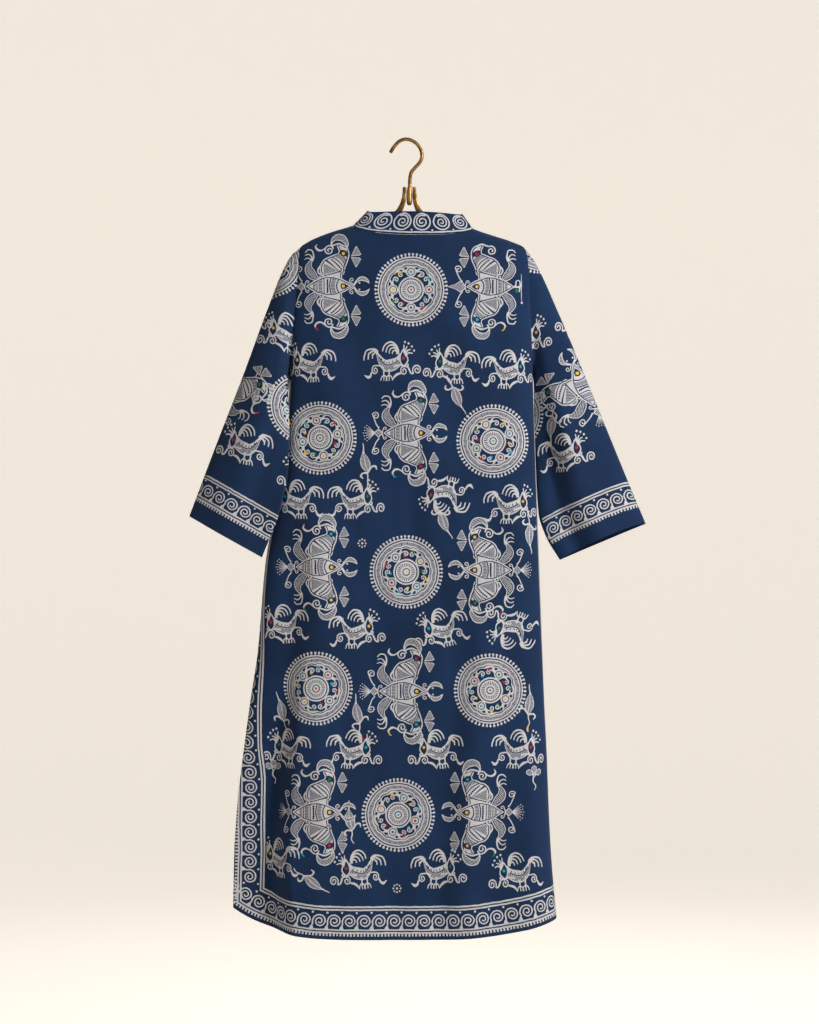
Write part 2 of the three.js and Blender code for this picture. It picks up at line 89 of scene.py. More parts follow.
def along(rows, key, column, at):
    """A column of a table as a smooth curve over its key, which never overshoots between two rows.

    Cubic pieces between the rows, whose slope at a row is the harmonic mean of the slopes beside it.
    """
    k, v = rows[key], rows[column]
    if k[1] < k[0]:
        k, v = k[::-1], v[::-1]
    rise = np.diff(v) / np.diff(k)
    same = rise[:-1] * rise[1:] > 0
    total = np.where(same, rise[:-1] + rise[1:], 1.0)
    inner = np.where(same, 2 * rise[:-1] * rise[1:] / total, 0.0)
    slope = np.concatenate([rise[:1], inner, rise[-1:]])
    x = np.clip(at, k[0], k[-1])
    i = np.clip(np.searchsorted(k, x, side="right") - 1, 0, len(k) - 2)
    span = k[i + 1] - k[i]
    t = (x - k[i]) / span
    return ((1 + 2 * t) * (1 - t) ** 2 * v[i] + t * (1 - t) ** 2 * span * slope[i]
            + t * t * (3 - 2 * t) * v[i + 1] + t * t * (t - 1) * span * slope[i + 1])


# ---- The garment's sizes, those of its solids ----
NECK = {"x": 13.3, "half": 99.3, "left": -140, "right": -145, "back_dip": 15, "front_dip": 66}
COLLAR = {"top_x": 16.5, "top_half": 77.5, "back_rise": 39, "side_rise": 25, "front_rise": 38,
          "top_depth": 0.86, "inset": 1.0, "lift": 0.5}
HEM = {"back": -1311, "front": -1305, "left_rise": 47, "right_rise": 31}
SHOULDER = {"left": -176, "right": -178}
UNDERARM = -386
SLIT = -850
ARMHOLE_DEPTH = 17
FRONT_GAP = {"top": 5, "hem": 14}
SLIT_OPEN = 12
NECK_SHARE = 0.56
CLOTH = 1.3   # thickness of the cloth with its hems
SEAM_GAP = 0.3

BODY = table(
    "z left right back front square",
    (-134, -72, 88, 23, 20, 2.6), (-140, -86, 100, 24, 21, 2.6), (-150, -119, 125, 25, 22, 2.7),
    (-158, -141, 150, 26, 23, 2.8), (-166, -158, 174, 27, 23, 2.9), (-177, -172.5, 196.5, 28, 24, 3.0),
    (-200, -174, 202, 29, 25, 3.4), (-290, -181, 206, 33, 27, 4.4), (-386, -189, 210, 36, 28, 6.0),
    (-493, -196, 213, 37, 28, 8.0), (-592, -211, 217, 38, 28, 9.0), (-700, -230, 221, 39, 28, 9.0),
    (-840, -242, 226, 40, 29, 9.0), (-922, -254, 229, 41, 29, 9.0), (-1005, -265, 233, 42, 30, 9.0),
    (-1087, -275, 236, 43, 30, 9.0), (-1170, -281, 240, 44, 30, 9.0), (-1311, -284, 252, 45, 31, 9.0))

# Below its slit the back's left edge swings out flat and falls towards the wall; the step in the
# cloth beside it is the deepest fold.
LEFT_FLAP = table(
    "z x half drop flat",
    (-500, -165, 22, 0, 0), (-757, -169, 20, 7, 0), (-850, -176, 19, 13, 0.06),
    (-972, -188, 19, 24, 0.5), (-1087, -199, 20, 34, 0.8), (-1170, -204, 21, 38, 0.88),
    (-1311, -200, 23, 41, 0.9))

# Soft folds: where each starts and ends, half its width, its height out of the cloth, and its reach.
FOLD = "top_x top_z bottom_x bottom_z half height start stop"
BACK_FOLDS = table(
    FOLD,
    (-138, -640, -146, -1320, 30, 6, -560, -1330), (125, -790, 98, -1320, 34, 8, -690, -1340),
    (84, -880, 50, -1320, 22, -5, -760, -1340), (158, -330, 150, -740, 16, -2.6, -300, -700),
    (18, -480, 12, -900, 15, -2.2, -470, -870), (-150, -260, -163, -660, 16, -2.4, -240, -640),
    (-20, -1010, -28, -1320, 40, -4, -980, -1340), (205, -930, 208, -1320, 24, 4, -880, -1340))
FRONT_FOLDS = table(
    FOLD,
    (-120, -520, -140, -1320, 30, 5, -460, -1340), (-60, -700, -72, -1320, 26, -4, -600, -1340),
    (96, -600, 112, -1320, 28, 5, -520, -1340), (160, -820, 176, -1320, 22, -4, -720, -1340))
FOLD_FADE = {"top": 160, "bottom": 60}

SLEEVE = "s outer_x outer_z outer_y inner_x inner_z inner_y half thin"
LEFT_SLEEVE = table(
    SLEEVE,
    (0, -172.5, -176, 0, -189, -386, 0, 17, 0), (0.05, -186, -188, 0, -193, -402, -6, 18, 0.3),
    (0.12, -200, -212, -1, -192, -424, -16, 19, 0.6), (0.28, -226, -277, -2, -190, -471, -28, 21, 0.8),
    (0.5, -266, -386, -3, -191, -536, -36, 21, 0.8), (0.75, -312, -505, -4, -205, -610, -42, 19, 0.75),
    (1, -355, -619, -4, -234, -686, -44, 16, 0.6))
RIGHT_SLEEVE = table(
    SLEEVE,
    (0, 196.5, -178, 0, 210, -386, 0, 17, 0), (0.05, 211, -196, 0, 212.3, -402, 1, 18, 0.4),
    (0.12, 226, -224, 0, 212.9, -424, 2, 19, 0.6), (0.28, 253, -285, -2, 214.3, -471, 4, 22, 0.72),
    (0.5, 301, -400, -4, 216.6, -538, 4, 23, 0.66), (0.75, 348, -516, -6, 221, -614, 3, 22, 0.45),
    (0.87, 371, -572, -7, 233, -652, 1, 21, 0.36), (1, 396, -632, -7, 256, -691, -2, 20, 0.3))
# Folds along a sleeve: where across it they start and end, and on which layer (-1 is the near one).
CREASE = "start_p end_p half height start stop side"
LEFT_CREASES = table(CREASE, (0.62, 0.66, 0.13, -5, 0.3, 0.98, -1), (0.3, 0.36, 0.14, 3, 0.2, 1.2, -1),
                     (0.45, 0.5, 0.15, -4, 0.2, 1.2, 1))
RIGHT_CREASES = table(CREASE, (0.72, 0.78, 0.11, -8, 0.3, 1.25, -1), (0.5, 0.52, 0.13, 4, 0.3, 1.25, -1),
                      (0.45, 0.5, 0.15, -4, 0.2, 1.2, 1))
RIGHT_CUFF_LIFT = 0.016


# ---- The surfaces ----
def folds(rows, x, z):
    """The sum of the soft folds: each a bell across its line, fading in at its top and out below."""
    x, z = np.broadcast_arrays(x, z)
    total = np.zeros(x.shape)
    for k in range(len(rows["half"])):
        f = {name: column[k] for name, column in rows.items()}
        middle = mix(f["top_x"], f["bottom_x"], (z - f["top_z"]) / (f["bottom_z"] - f["top_z"]))
        fade_in, fade_out = (f["start"] - z) / FOLD_FADE["top"], (z - f["stop"]) / FOLD_FADE["bottom"]
        fade = np.minimum(np.minimum(1, fade_in), fade_out)
        total = total + f["height"] * smooth(fade) * np.exp(-(((x - middle) / f["half"]) ** 2))
    return total


def ripple(x, z, seed):
    """The slight unevenness of cloth that has been worn: long waves of several directions, summed."""
    draw = np.random.default_rng(seed)
    total = 0
    for wavelength, height in ((170, 0.9), (95, 0.55), (52, 0.26), (30, 0.1)):
        for _ in range(3):
            way = draw.uniform(-0.9, 0.9)
            phase = draw.uniform(0, TURN)
            run = x * math.cos(way) + z * math.sin(way) * 0.45
            total = total + height * np.sin(TURN * run / wavelength + phase)
    return total


def armhole_depth(z, across):
    """Half the depth of the armhole ring, an ellipse between the shoulder tip and the underarm."""
    top = np.where(across < 0, SHOULDER["left"], SHOULDER["right"])
    t = (2 * z - top - UNDERARM) / (top - UNDERARM)
    return ARMHOLE_DEPTH * np.sqrt(np.maximum(0, 1 - t * t))


def body_surface(across, z, side):
    """The body at a height: a flat ring with round sides, its depth a power of the place across.

    across runs from -1 at the left side edge to 1 at the right one; side is -1 for the back.
    """
    left, right = along(BODY, "z", "left", z), along(BODY, "z", "right", z)
    x = mix(left, right, (across + 1) / 2)
    square = along(BODY, "z", "square", z)
    roundness = mix(1.6, 2.4, smooth((square - 3) / 5))
    bulge = np.maximum(0, 1 - np.abs(across) ** square) ** (1 / roundness)
    deep = along(BODY, "z", "back" if side < 0 else "front", z)
    calm = smooth((1 - np.abs(across)) / 0.12)
    edge = armhole_depth(z, across)
    wave = ripple(x, z, 5 + side) * smooth((1 - np.abs(across)) / 0.3)
    if side > 0:
        edge = np.maximum(edge, SLIT_OPEN * smooth((SLIT - z) / 200))
        y = edge + (deep - edge) * bulge + calm * folds(FRONT_FOLDS, x, z) + wave
    else:
        reach = mix(bulge, 1, np.where(across < 0, along(LEFT_FLAP, "z", "flat", z), 0))
        step = (along(LEFT_FLAP, "z", "x", z) - x) / along(LEFT_FLAP, "z", "half", z)
        drop = along(LEFT_FLAP, "z", "drop", z) * smooth((step + 1) / 2) * reach
        y = drop - edge - (deep - edge) * reach - calm * folds(BACK_FOLDS, x, z) - wave
    return np.stack([x, y + side * SEAM_GAP / 2, z + 0 * x], axis=-1)


def across_at(x, z):
    """The place across the body of an x at a height."""
    left, right = along(BODY, "z", "left", z), along(BODY, "z", "right", z)
    return np.clip(2 * (x - left) / (right - left) - 1, -1, 1)


def neckline(sweep, side):
    """The neckline's x and z: a sine across, and a dip like a cosine between its two neck points."""
    x = NECK["x"] + NECK["half"] * np.sin(sweep * math.pi / 2)
    dip = NECK["back_dip"] if side < 0 else NECK["front_dip"]
    bow = np.maximum(0, np.cos(sweep * math.pi / 2)) ** 0.9
    return x, mix(NECK["left"], NECK["right"], (sweep + 1) / 2) - dip * bow


def top_edge(place, side):
    """A body panel's top edge: the neckline, and past NECK_SHARE of its width the shoulder seam."""
    hand = np.sign(place)
    t = np.clip((1 - np.abs(place)) / (1 - NECK_SHARE), 0, 1)
    tip = np.where(hand < 0, SHOULDER["left"], SHOULDER["right"])
    neck = np.where(hand < 0, NECK["left"], NECK["right"])
    x, z = neckline(np.clip(place / NECK_SHARE, -1, 1), side)
    seam = np.abs(place) >= NECK_SHARE
    return np.where(seam, hand, across_at(x, z)), np.where(seam, mix(tip, neck, t ** 0.8), z)


def hem_height(place, side):
    """The hem's height: level in the middle, and rising by a power of the place towards both sides."""
    out = np.abs(place)
    rise = np.where(place < 0, HEM["left_rise"] * out ** 4, HEM["right_rise"] * out ** 3)
    return HEM["back" if side < 0 else "front"] + rise


def to_underarm(top_z, down):
    """Heights from a panel's top edge, where down is 0, to the underarm, where it is 1, close at both."""
    return mix(top_z, UNDERARM, (1 - np.cos(down ** 1.2 * math.pi)) / 2)


def body_place(place, down, side, target):
    """Where on a body panel: down is 0 at the top edge, 1 at the underarm and 2 at the hem."""
    top_across, top_z = top_edge(place, side)
    t = np.clip(down, 0, 1)
    upper = to_underarm(top_z, t)
    z = np.where(down <= 1, upper, mix(UNDERARM, hem_height(place, side), down - 1))
    return mix(top_across, target(z), 1 - (1 - t) ** 2), z


def open_edge(hand, z):
    """The across of a front's open edge, which runs straight down from the neckline."""
    drop = (NECK["left"] - z) / (NECK["left"] - HEM["front"])
    gap = mix(FRONT_GAP["top"], FRONT_GAP["hem"], smooth(drop))
    return across_at(NECK["x"] + hand * gap / 2, z)


def sleeve_surface(rows, creases, hand, lift, s, turn):
    """A sleeve: flat rings that run from the outer edge (turn 0) by the near layer to the inner edge."""
    angle = turn * TURN
    sine = np.sin(angle)
    near = sine > 0
    at = s - np.where(near, lift * sine * smooth(s), 0)
    p = (1 - np.cos(angle)) / 2
    pull = {name: along(rows, "s", name, at) for name in rows if name != "s"}
    x = mix(pull["outer_x"], pull["inner_x"], p)
    z = mix(pull["outer_z"], pull["inner_z"], p)
    depth = pull["half"] * np.abs(sine) ** mix(1, 0.75, smooth(s / 0.5))
    layer = depth * (1 - pull["thin"] * smooth((p - 0.45) / 0.5))
    for k in range(len(creases["half"])):
        c = {name: column[k] for name, column in creases.items()}
        middle = mix(c["start_p"], c["end_p"], np.clip((s - c["start"]) / (1 - c["start"]), 0, 1))
        fade = smooth(np.minimum((s - c["start"]) / 0.25, (c["stop"] - s) / 0.15)) * np.abs(sine) ** 0.5
        bell = c["height"] * fade * np.exp(-(((p - middle) / c["half"]) ** 2))
        layer = layer + np.where(near == (c["side"] < 0), bell, 0)
    layer = layer + 0.55 * ripple(x, z, 20 + hand) * smooth(np.abs(sine) / 0.6) * smooth(s / 0.15)
    y = mix(pull["outer_y"], pull["inner_y"], p) + np.where(near, -1, 1) * layer
    seam_z = mix(rows["outer_z"][0], rows["inner_z"][0], p)
    seam_x = along(BODY, "z", "left" if hand < 0 else "right", seam_z) + hand * (0.3 + 0.75 * p ** 6)
    follow = (seam_x - mix(rows["outer_x"][0], rows["inner_x"][0], p)) * np.clip(1 - s / 0.2, 0, 1)
    return np.stack([x + follow, y, z], axis=-1)


def collar_surface(around, up):
    """The collar over the neckline: around is 0 at the centre back, 0.5 at a neck point, 1 in front."""
    front = np.abs(around) > 0.5
    sweep = np.where(front, np.sign(around) * 2 * (1 - np.abs(around)), 2 * around)
    back_x, back_z = neckline(sweep, -1)
    front_x, front_z = neckline(sweep, 1)
    x, z = np.where(front, front_x, back_x), np.where(front, front_z, back_z)
    across = across_at(x, z)
    y = np.where(front, body_surface(across, z, 1)[..., 1], body_surface(across, z, -1)[..., 1])
    middle = np.maximum(0, np.cos(sweep * math.pi / 2)) ** 1.5
    rise = mix(COLLAR["side_rise"], np.where(front, COLLAR["front_rise"], COLLAR["back_rise"]), middle)
    out = (x - NECK["x"]) / NECK["half"]
    foot_x = NECK["x"] + (NECK["half"] - COLLAR["inset"]) * out
    return np.stack([mix(foot_x, COLLAR["top_x"] + COLLAR["top_half"] * out, up),
                     y * mix(1, COLLAR["top_depth"], up), z + mix(COLLAR["lift"], rise, up)], axis=-1)


# ---- Flat charts of the cloth ----
def even_place(at, marks):
    """Where values lie along evenly spaced marks, counted in marks from the first."""
    count = len(marks) - 1
    return np.clip((at - marks[0]) / (marks[-1] - marks[0]) * count, 0, count - 1e-6)


def grid_read(values, rows, columns, row, column):
    """Reads a table by bilinear interpolation at fractional places; rows and columns are evenly spaced."""
    i, j = even_place(row, rows), even_place(column, columns)
    i0, j0 = i.astype(int), j.astype(int)
    a, b = i - i0, j - j0
    upper = values[i0, j0] * (1 - b) + values[i0, j0 + 1] * b
    lower = values[i0 + 1, j0] * (1 - b) + values[i0 + 1, j0 + 1] * b
    return upper * (1 - a) + lower * a


def invert_rows(lengths, columns, count):
    """For each row of growing lengths: where along the columns each of an even set of lengths lies."""
    spread = np.linspace(lengths.min(), lengths.max(), count)
    return spread, np.array([np.interp(spread, row, columns) for row in lengths])


def run_length(path):
    """How far along a path each of its points lies."""
    step = np.linalg.norm(np.diff(path, axis=-2), axis=-1)
    return np.concatenate([np.zeros(step.shape[:-1] + (1,)), np.cumsum(step, axis=-1)], axis=-1)


def normals_of(surface, a, b, step_a, step_b, sign):
    """A surface's unit normals, from differences of its two parameters."""
    across = surface(a + step_a, b) - surface(a - step_a, b)
    down = surface(a, b + step_b) - surface(a, b - step_b)
    normal = sign * np.cross(across, down)
    return normal / np.maximum(np.linalg.norm(normal, axis=1, keepdims=True), 1e-9)


class BodyChart:
    """The body flattened: u is the way across along the cloth from x = 0, v the height z.

    On the fronts u grows towards -x, so that the print is seen the right way round from outside.
    """

    def __init__(self, side):
        self.side = side
        self.hand = 1 if side < 0 else -1
        self.heights = np.linspace(-1325, -125, 301)
        self.even = np.linspace(-math.pi / 2, math.pi / 2, 401)
        points = body_surface(np.sin(self.even)[None, :], self.heights[:, None], side)
        length = run_length(points)
        start = np.array([np.interp(0, row[:, 0], run) for row, run in zip(points, length)])
        self.length = length - start[:, None]
        self.spread, self.inverse = invert_rows(self.length, self.even, 801)

    def flat(self, across, z):
        """The chart's place of a place on the body."""
        turned = np.arcsin(np.clip(across, -1, 1))
        u = grid_read(self.length, self.heights, self.even, np.asarray(z, float), turned)
        return np.stack([self.hand * u, z + 0 * u], axis=-1)

    def surface(self, uv):
        """The body's middle surface at places on the chart, and its normals."""
        z = uv[:, 1]
        turned = grid_read(self.inverse, self.heights, self.spread, z, self.hand * uv[:, 0])

        def sheet(t, height):
            return body_surface(np.sin(np.clip(t, -math.pi / 2, math.pi / 2)), height, self.side)

        return sheet(turned, z), normals_of(sheet, turned, z, 2e-3, 0.5, -self.side)


class SleeveChart:
    """A sleeve flattened. The near layer lies as it hangs; the far one is turned over at the outer edge.

    A ring runs straight from the outer edge to the inner one, at even steps along the cloth.
    """

    def __init__(self, rows, creases, hand, lift):
        self.rows, self.creases, self.hand, self.lift = rows, creases, hand, lift
        self.stations = np.linspace(0, 1, 101)
        turns = np.linspace(0, 0.5, 121)
        self.inverse = []
        for half in (0, 1):
            spun = turns if half == 0 else 1 - turns
            points = sleeve_surface(rows, creases, hand, lift, self.stations[:, None], spun[None, :])
            length = run_length(points)
            self.inverse.append(invert_rows(length / length[:, -1:], spun, 601))

    def edges(self, s):
        """The outer and the inner edge on the chart; the inner one is let out by what the round takes up."""
        outer_x, outer_z, inner_x, inner_z = (along(self.rows, "s", name, s) for name in
                                              ("outer_x", "outer_z", "inner_x", "inner_z"))
        slack = self.hand * 4.5 * smooth(s / 0.05)
        return np.stack([outer_x, outer_z], axis=-1), np.stack([inner_x - slack, inner_z], axis=-1)

    def flat(self, s, q):
        """q is -1 at the inner edge of the far layer, 0 at the outer edge and 1 at the near inner edge."""
        outer, inner = self.edges(s)
        way = inner - outer
        return outer + np.where((q < 0)[:, None], self.turned_over(s, way), way) * np.abs(q)[:, None]

    def turned_over(self, s, way):
        """A way from the outer edge, mirrored in that edge as it runs near s."""
        run = self.edges(np.minimum(s + 0.12, 1))[0] - self.edges(np.maximum(s - 0.12, 0))[0]
        run = run / np.linalg.norm(run, axis=1, keepdims=True)
        return 2 * (way * run).sum(axis=1, keepdims=True) * run - way

    def find(self, uv):
        """The s and q of places on the chart, by Newton's method on both layers at once."""
        grid = np.meshgrid(np.linspace(0, 1, 41), np.linspace(-1, 1, 62), indexing="ij")
        grid_s, grid_q = (g.ravel() for g in grid)
        spots = self.flat(grid_s, grid_q)
        nearest = np.concatenate([
            ((part[:, None, :] - spots[None, :, :]) ** 2).sum(axis=2).argmin(axis=1)
            for part in np.array_split(uv, len(uv) // 2000 + 1)])
        s = np.clip(grid_s[nearest], 0, 0.9999)
        sign = np.where(grid_q[nearest] < 0, -1.0, 1.0)
        q = np.maximum(np.abs(grid_q[nearest]), 1e-6)
        for _ in range(6):
            here = self.flat(s, sign * q)
            ds = (self.flat(s + 1e-4, sign * q) - here) / 1e-4
            dq = (self.flat(s, sign * (q + 1e-4)) - here) / 1e-4
            off = uv - here
            area = ds[:, 0] * dq[:, 1] - ds[:, 1] * dq[:, 0]
            area = np.where(np.abs(area) < 1e-6, 1e-6, area)
            step_s = (off[:, 0] * dq[:, 1] - off[:, 1] * dq[:, 0]) / area
            step_q = (ds[:, 0] * off[:, 1] - ds[:, 1] * off[:, 0]) / area
            s = np.clip(s + np.clip(step_s, -0.1, 0.1), 0, 0.9999)
            q = q + np.clip(step_q, -0.1, 0.1)
            sign = np.where(q < 0, -sign, sign)
            q = np.clip(np.abs(q), 1e-6, 1)
        return s, sign * q

    def surface(self, uv):
        """The sleeve's middle surface at places on the chart, and its normals."""
        s, q = self.find(uv)
        turns = [grid_read(turn, self.stations, share, s, np.abs(q)) for share, turn in self.inverse]
        turn = np.where(q >= 0, *turns)

        def sheet(t, station):
            return sleeve_surface(self.rows, self.creases, self.hand, self.lift, np.clip(station, 0, 1), t)

        return sheet(turn, s), normals_of(sheet, turn, s, 1e-3, 1e-3, self.hand)


class CollarChart:
    """The collar flattened into a straight band: u runs along its middle, v up from its foot."""

    def __init__(self, end):
        self.around = np.linspace(-end, end, 801)
        self.run = run_length(collar_surface(self.around, 0.5))
        self.run -= self.run[400]
        foot, top = collar_surface(self.around, 0.0), collar_surface(self.around, 1.0)
        self.height = np.linalg.norm(top - foot, axis=1)

    def flat(self, around, up):
        """The chart's place of a place on the collar."""
        u = np.interp(around, self.around, self.run)
        return np.stack([u, up * np.interp(around, self.around, self.height)], axis=-1)

    def surface(self, uv):
        """The collar's middle surface at places on the chart, and its normals."""
        around = np.interp(uv[:, 0], self.run, self.around)
        up = np.clip(uv[:, 1] / np.interp(around, self.around, self.height), 0, 1)

        def sheet(a, b):
            return collar_surface(np.clip(a, self.around[0], self.around[-1]), b)

        return sheet(around, up), normals_of(sheet, around, up, 1e-3, 0.02, 1)


# ---- The print: drawing tools, in millimetres on the flat cloth ----
# Each shape is (ink, outline, hatch). Later shapes cover earlier ones. The hatch is a plane over the
# cloth, whose whole numbers are the middles of the hatching's white strokes.
INDIGO, WHITE, HATCHED, YELLOW, RED, GREEN, CYAN = range(7)
NO_HATCH = np.zeros(3)
FINE = 0.76   # how fine the brushed strokes are


def shape(ink, outline, hatch=NO_HATCH):
    """One filled outline of the print."""
    return ink, np.asarray(outline, float), np.asarray(hatch, float)


def polar(r, angle):
    """The place at a radius and an angle."""
    return np.array([r * math.cos(angle), r * math.sin(angle)])


def disc(x, y, r, ink=WHITE, sides=None):
    """A round spot; a large one has more sides."""
    sides = sides or int(np.clip(8 + r * 1.1, 8, 64))
    a = np.arange(sides) * TURN / sides
    return shape(ink, np.stack([x + r * np.cos(a), y + r * np.sin(a)], axis=1))


def curve(points, steps=5):
    """A smooth line through points: cubic pieces whose slope at a point is that between its neighbours."""
    p = np.array(points, float)
    p = np.vstack([2 * p[0] - p[1], p, 2 * p[-1] - p[-2]])
    t = np.arange(steps)[:, None] / steps
    parts = [0.5 * (2 * b + (c - a) * t + (2 * a - 5 * b + 4 * c - d) * t ** 2
                    + (3 * b - a - 3 * c + d) * t ** 3)
             for a, b, c, d in zip(p, p[1:], p[2:], p[3:])]
    return np.vstack(parts + [p[-2:-1]])


def sides_of(line):
    """Both edges of a line whose third column is half its width."""
    run = np.gradient(line[:, :2], axis=0)
    run /= np.maximum(np.linalg.norm(run, axis=1, keepdims=True), 1e-9)
    off = np.stack([-run[:, 1], run[:, 0]], axis=1) * line[:, 2:3]
    return line[:, :2] + off, line[:, :2] - off


def stroke(line, ink=WHITE):
    """A line whose third column is half its width, as one filled outline."""
    left, right = sides_of(line)
    return shape(ink, np.vstack([left, right[::-1]]))


def brush(points, ink=WHITE, steps=5):
    """A brushed stroke through points (x, y, half width)."""
    return stroke(curve(points, steps) * (1, 1, FINE), ink)


def coil(x, y, r, turns, start, hand, width=1.25, lead=()):
    """A spiral stroke from its rim inwards; lead is a few points (x, y, half width) on the way to it."""
    count = int(13 * turns)
    t = np.linspace(0, 1, count)
    angle = math.radians(start) + hand * TURN * turns * t
    radius = r * mix(1, 0.16, t ** 0.9)
    line = np.column_stack([x + radius * np.cos(angle), y + radius * np.sin(angle), width * mix(1, 0.85, t)])
    if len(lead):
        line = np.vstack([curve(list(lead) + [line[0], line[1]], 4)[:-4], line[1:]])
    return stroke(line * (1, 1, FINE))


def form(points, line_width=1.9, gap=1.7, bands=(), ink=WHITE):
    """A long form with a double outline, from its middle line and half widths, with bands across it.

    Each band is (from, to, ink, bow): shares of the length, its ink, and how far its edges bow forward.
    """
    line = curve(points, 6)
    shapes = []
    inset = 0
    for ink_now, step in ((WHITE, line_width), (INDIGO, gap), (ink, 0)):
        inner = line.copy()
        inner[:, 2] = np.maximum(line[:, 2] - inset, 0.15)
        keep = line[:, 2] > inset * 0.8
        shapes.append(stroke(inner[keep], ink_now))
        inset += step
    length = run_length(line[:, :2])
    run = length / length[-1]

    def across(share, bow, side_steps=5):
        side = np.linspace(1, -1, side_steps)
        t = np.clip(share + bow * (1 - side ** 2), 0, 1)
        at = np.stack([np.interp(t, run, line[:, k]) for k in range(3)], axis=1)
        ahead = np.stack([np.interp(np.minimum(t + 0.02, 1), run, line[:, k]) for k in range(2)], axis=1)
        behind = np.stack([np.interp(np.maximum(t - 0.02, 0), run, line[:, k]) for k in range(2)], axis=1)
        way = ahead - behind
        way /= np.linalg.norm(way, axis=1, keepdims=True)
        reach = np.maximum(at[:, 2] - inset, 0.1) * side
        return at[:, :2] + np.stack([-way[:, 1], way[:, 0]], axis=1) * reach[:, None], way[side_steps // 2]

    for start, end, ink_now, bow in bands:
        first, way = across(start, bow)
        second, _ = across(end, bow)
        between = [across(t, bow)[0] for t in np.arange(start + 0.08, end - 0.04, 0.08)]
        if ink_now == "dots":
            middle, _ = across((start + end) / 2, bow, 9)
            size = 0.24 * np.linalg.norm(second[2] - first[2])
            shapes += [disc(x, y, max(size, 0.9), INDIGO, 6) for x, y in middle[1:-1]]
        else:
            hatch = (*(np.array([-way[1], way[0]]) / 2.3), 0)
            there = [row[-1:] for row in between]
            back = [row[:1] for row in between[::-1]]
            shapes.append(shape(ink_now, np.vstack([first] + there + [second[::-1]] + back), hatch))
    return shapes


def hatched(outline, way, pitch=2.3, border=1.5):
    """A white form whose middle is filled with strokes that run along a direction in degrees."""
    outline = np.asarray(outline, float)
    centre = outline.mean(axis=0)
    size = np.linalg.norm(outline - centre, axis=1).mean()
    inner = centre + (outline - centre) * (1 - border / size)
    a = math.radians(way + 90)
    return [shape(WHITE, outline), shape(HATCHED, inner, (math.cos(a) / pitch, math.sin(a) / pitch, 0))]


def placed(shapes, x=0.0, y=0.0, turn=0.0, size=1.0, mirror=False):
    """Shapes turned by degrees, sized, mirrored left to right first, and moved."""
    c, s = math.cos(math.radians(turn)), math.sin(math.radians(turn))
    spin = np.array([[c, -s], [s, c]]) @ np.diag([-1.0 if mirror else 1.0, 1.0])
    out = []
    for ink, outline, hatch in shapes:
        moved = outline @ (spin * size).T + (x, y)
        if mirror:
            moved = moved[::-1]
        tilt = spin @ hatch[:2] / size
        out.append((ink, moved, np.array([*tilt, hatch[2] - tilt @ (x, y)])))
    return out


# ---- The print's motifs ----
def medallion(tints):
    """A sun disc: a rim of rounded teeth, a hatched ring, four eyes between pairs of curls, a hub."""
    shapes = []
    bead = shape(WHITE, [(53, -0.75), (56.4, -0.9), (58.2, -2.0), (60.1, -1.3), (60.5, 0.3), (59.7, 1.6),
                         (57.9, 1.9), (56.4, 0.9), (53, 0.75)])
    for k in range(58):
        shapes += placed([bead], turn=k * 360 / 58)
    shapes += [disc(0, 0, 54.4), disc(0, 0, 52.3, INDIGO), disc(0, 0, 50.4)]
    for k in range(28):
        start, end = k * TURN / 28, (k + 1) * TURN / 28
        cell = [polar(48.6, start), polar(48.6, end), polar(42.5, end), polar(42.5, start)]
        shapes.append(shape(HATCHED, cell, (*polar(1 / 1.9, (start + end + math.pi) / 2), 0)))
    a = np.linspace(0, TURN, 97)[:-1]
    for ink, r in ((WHITE, 43.2), (INDIGO, 40.9), (WHITE, 39.2), (INDIGO, 37.9)):
        wave = r + 1.7 * np.abs(np.sin(8 * a)) - 0.9
        shapes.append(shape(ink, np.column_stack([wave * np.cos(a), wave * np.sin(a)])))
    drop = [(0, -2.6), (2.0, -1.6), (2.2, 1.0), (0.6, 3.0), (-1.4, 2.6), (-2.2, 0.2), (-1.6, -2.0)]
    for k in range(4):
        arm = both([brush([(29, -1, 4.2), (30.5, 7, 2.4), (33, 13, 1.5), (35.8, 17.5, 0.6)]),
                    brush([(35.5, 0, 2.6), (36.3, 4.5, 1.3), (37.3, 8.5, 0.5)]),
                    coil(24.5, 17.0, 4.8, 1.35, -20, 1, 1.25, [(29.5, 8, 2.6), (30.5, 12.5, 1.8)])])
        arm += [shape(WHITE, [(20, -1.6), (24.5, -3.2), (24.5, 3.2), (20, 1.6)]),
                brush([(35.5, 11, 1.0), (34.3, 18.5, 1.9), (30.5, 23.5, 2.3), (25.5, 27, 0.7)]),
                disc(29.5, 0, 8.3), disc(29.5, 0, 6.3, INDIGO), disc(29.5, 0, 4.9),
                disc(29.5, 0, 2.3, tints[k])]
        shapes += placed(arm, turn=90 * k)
        for r, angle, tilt, later in ((35.0, 0.58, 20, 1), (26.5, 1.02, 70, 2)):
            one = shape(tints[(k + later) % 4], drop)
            shapes += placed([one], *polar(r, angle + k * TURN / 4), turn=90 * k + tilt)
    shapes += [disc(0, 0, 21.4), disc(0, 0, 18.8, INDIGO), disc(0, 0, 17.0)]
    ray = shape(INDIGO, [(9.2, -0.5), (14.4, -0.75), (14.4, 0.75), (9.2, 0.5)])
    for k in range(26):
        shapes += placed([ray], turn=k * 360 / 26)
    return shapes + [disc(0, 0, 6.4, INDIGO), disc(0, 0, 4.8), disc(0, 0, 1.8, tints[0])]


def flip(shapes):
    """Shapes mirrored top to bottom."""
    return [(ink, outline[::-1] * (1, -1), hatch * (1, -1, 1)) for ink, outline, hatch in shapes]


def both(shapes):
    """Shapes and their mirror images below the middle line."""
    return shapes + flip(shapes)


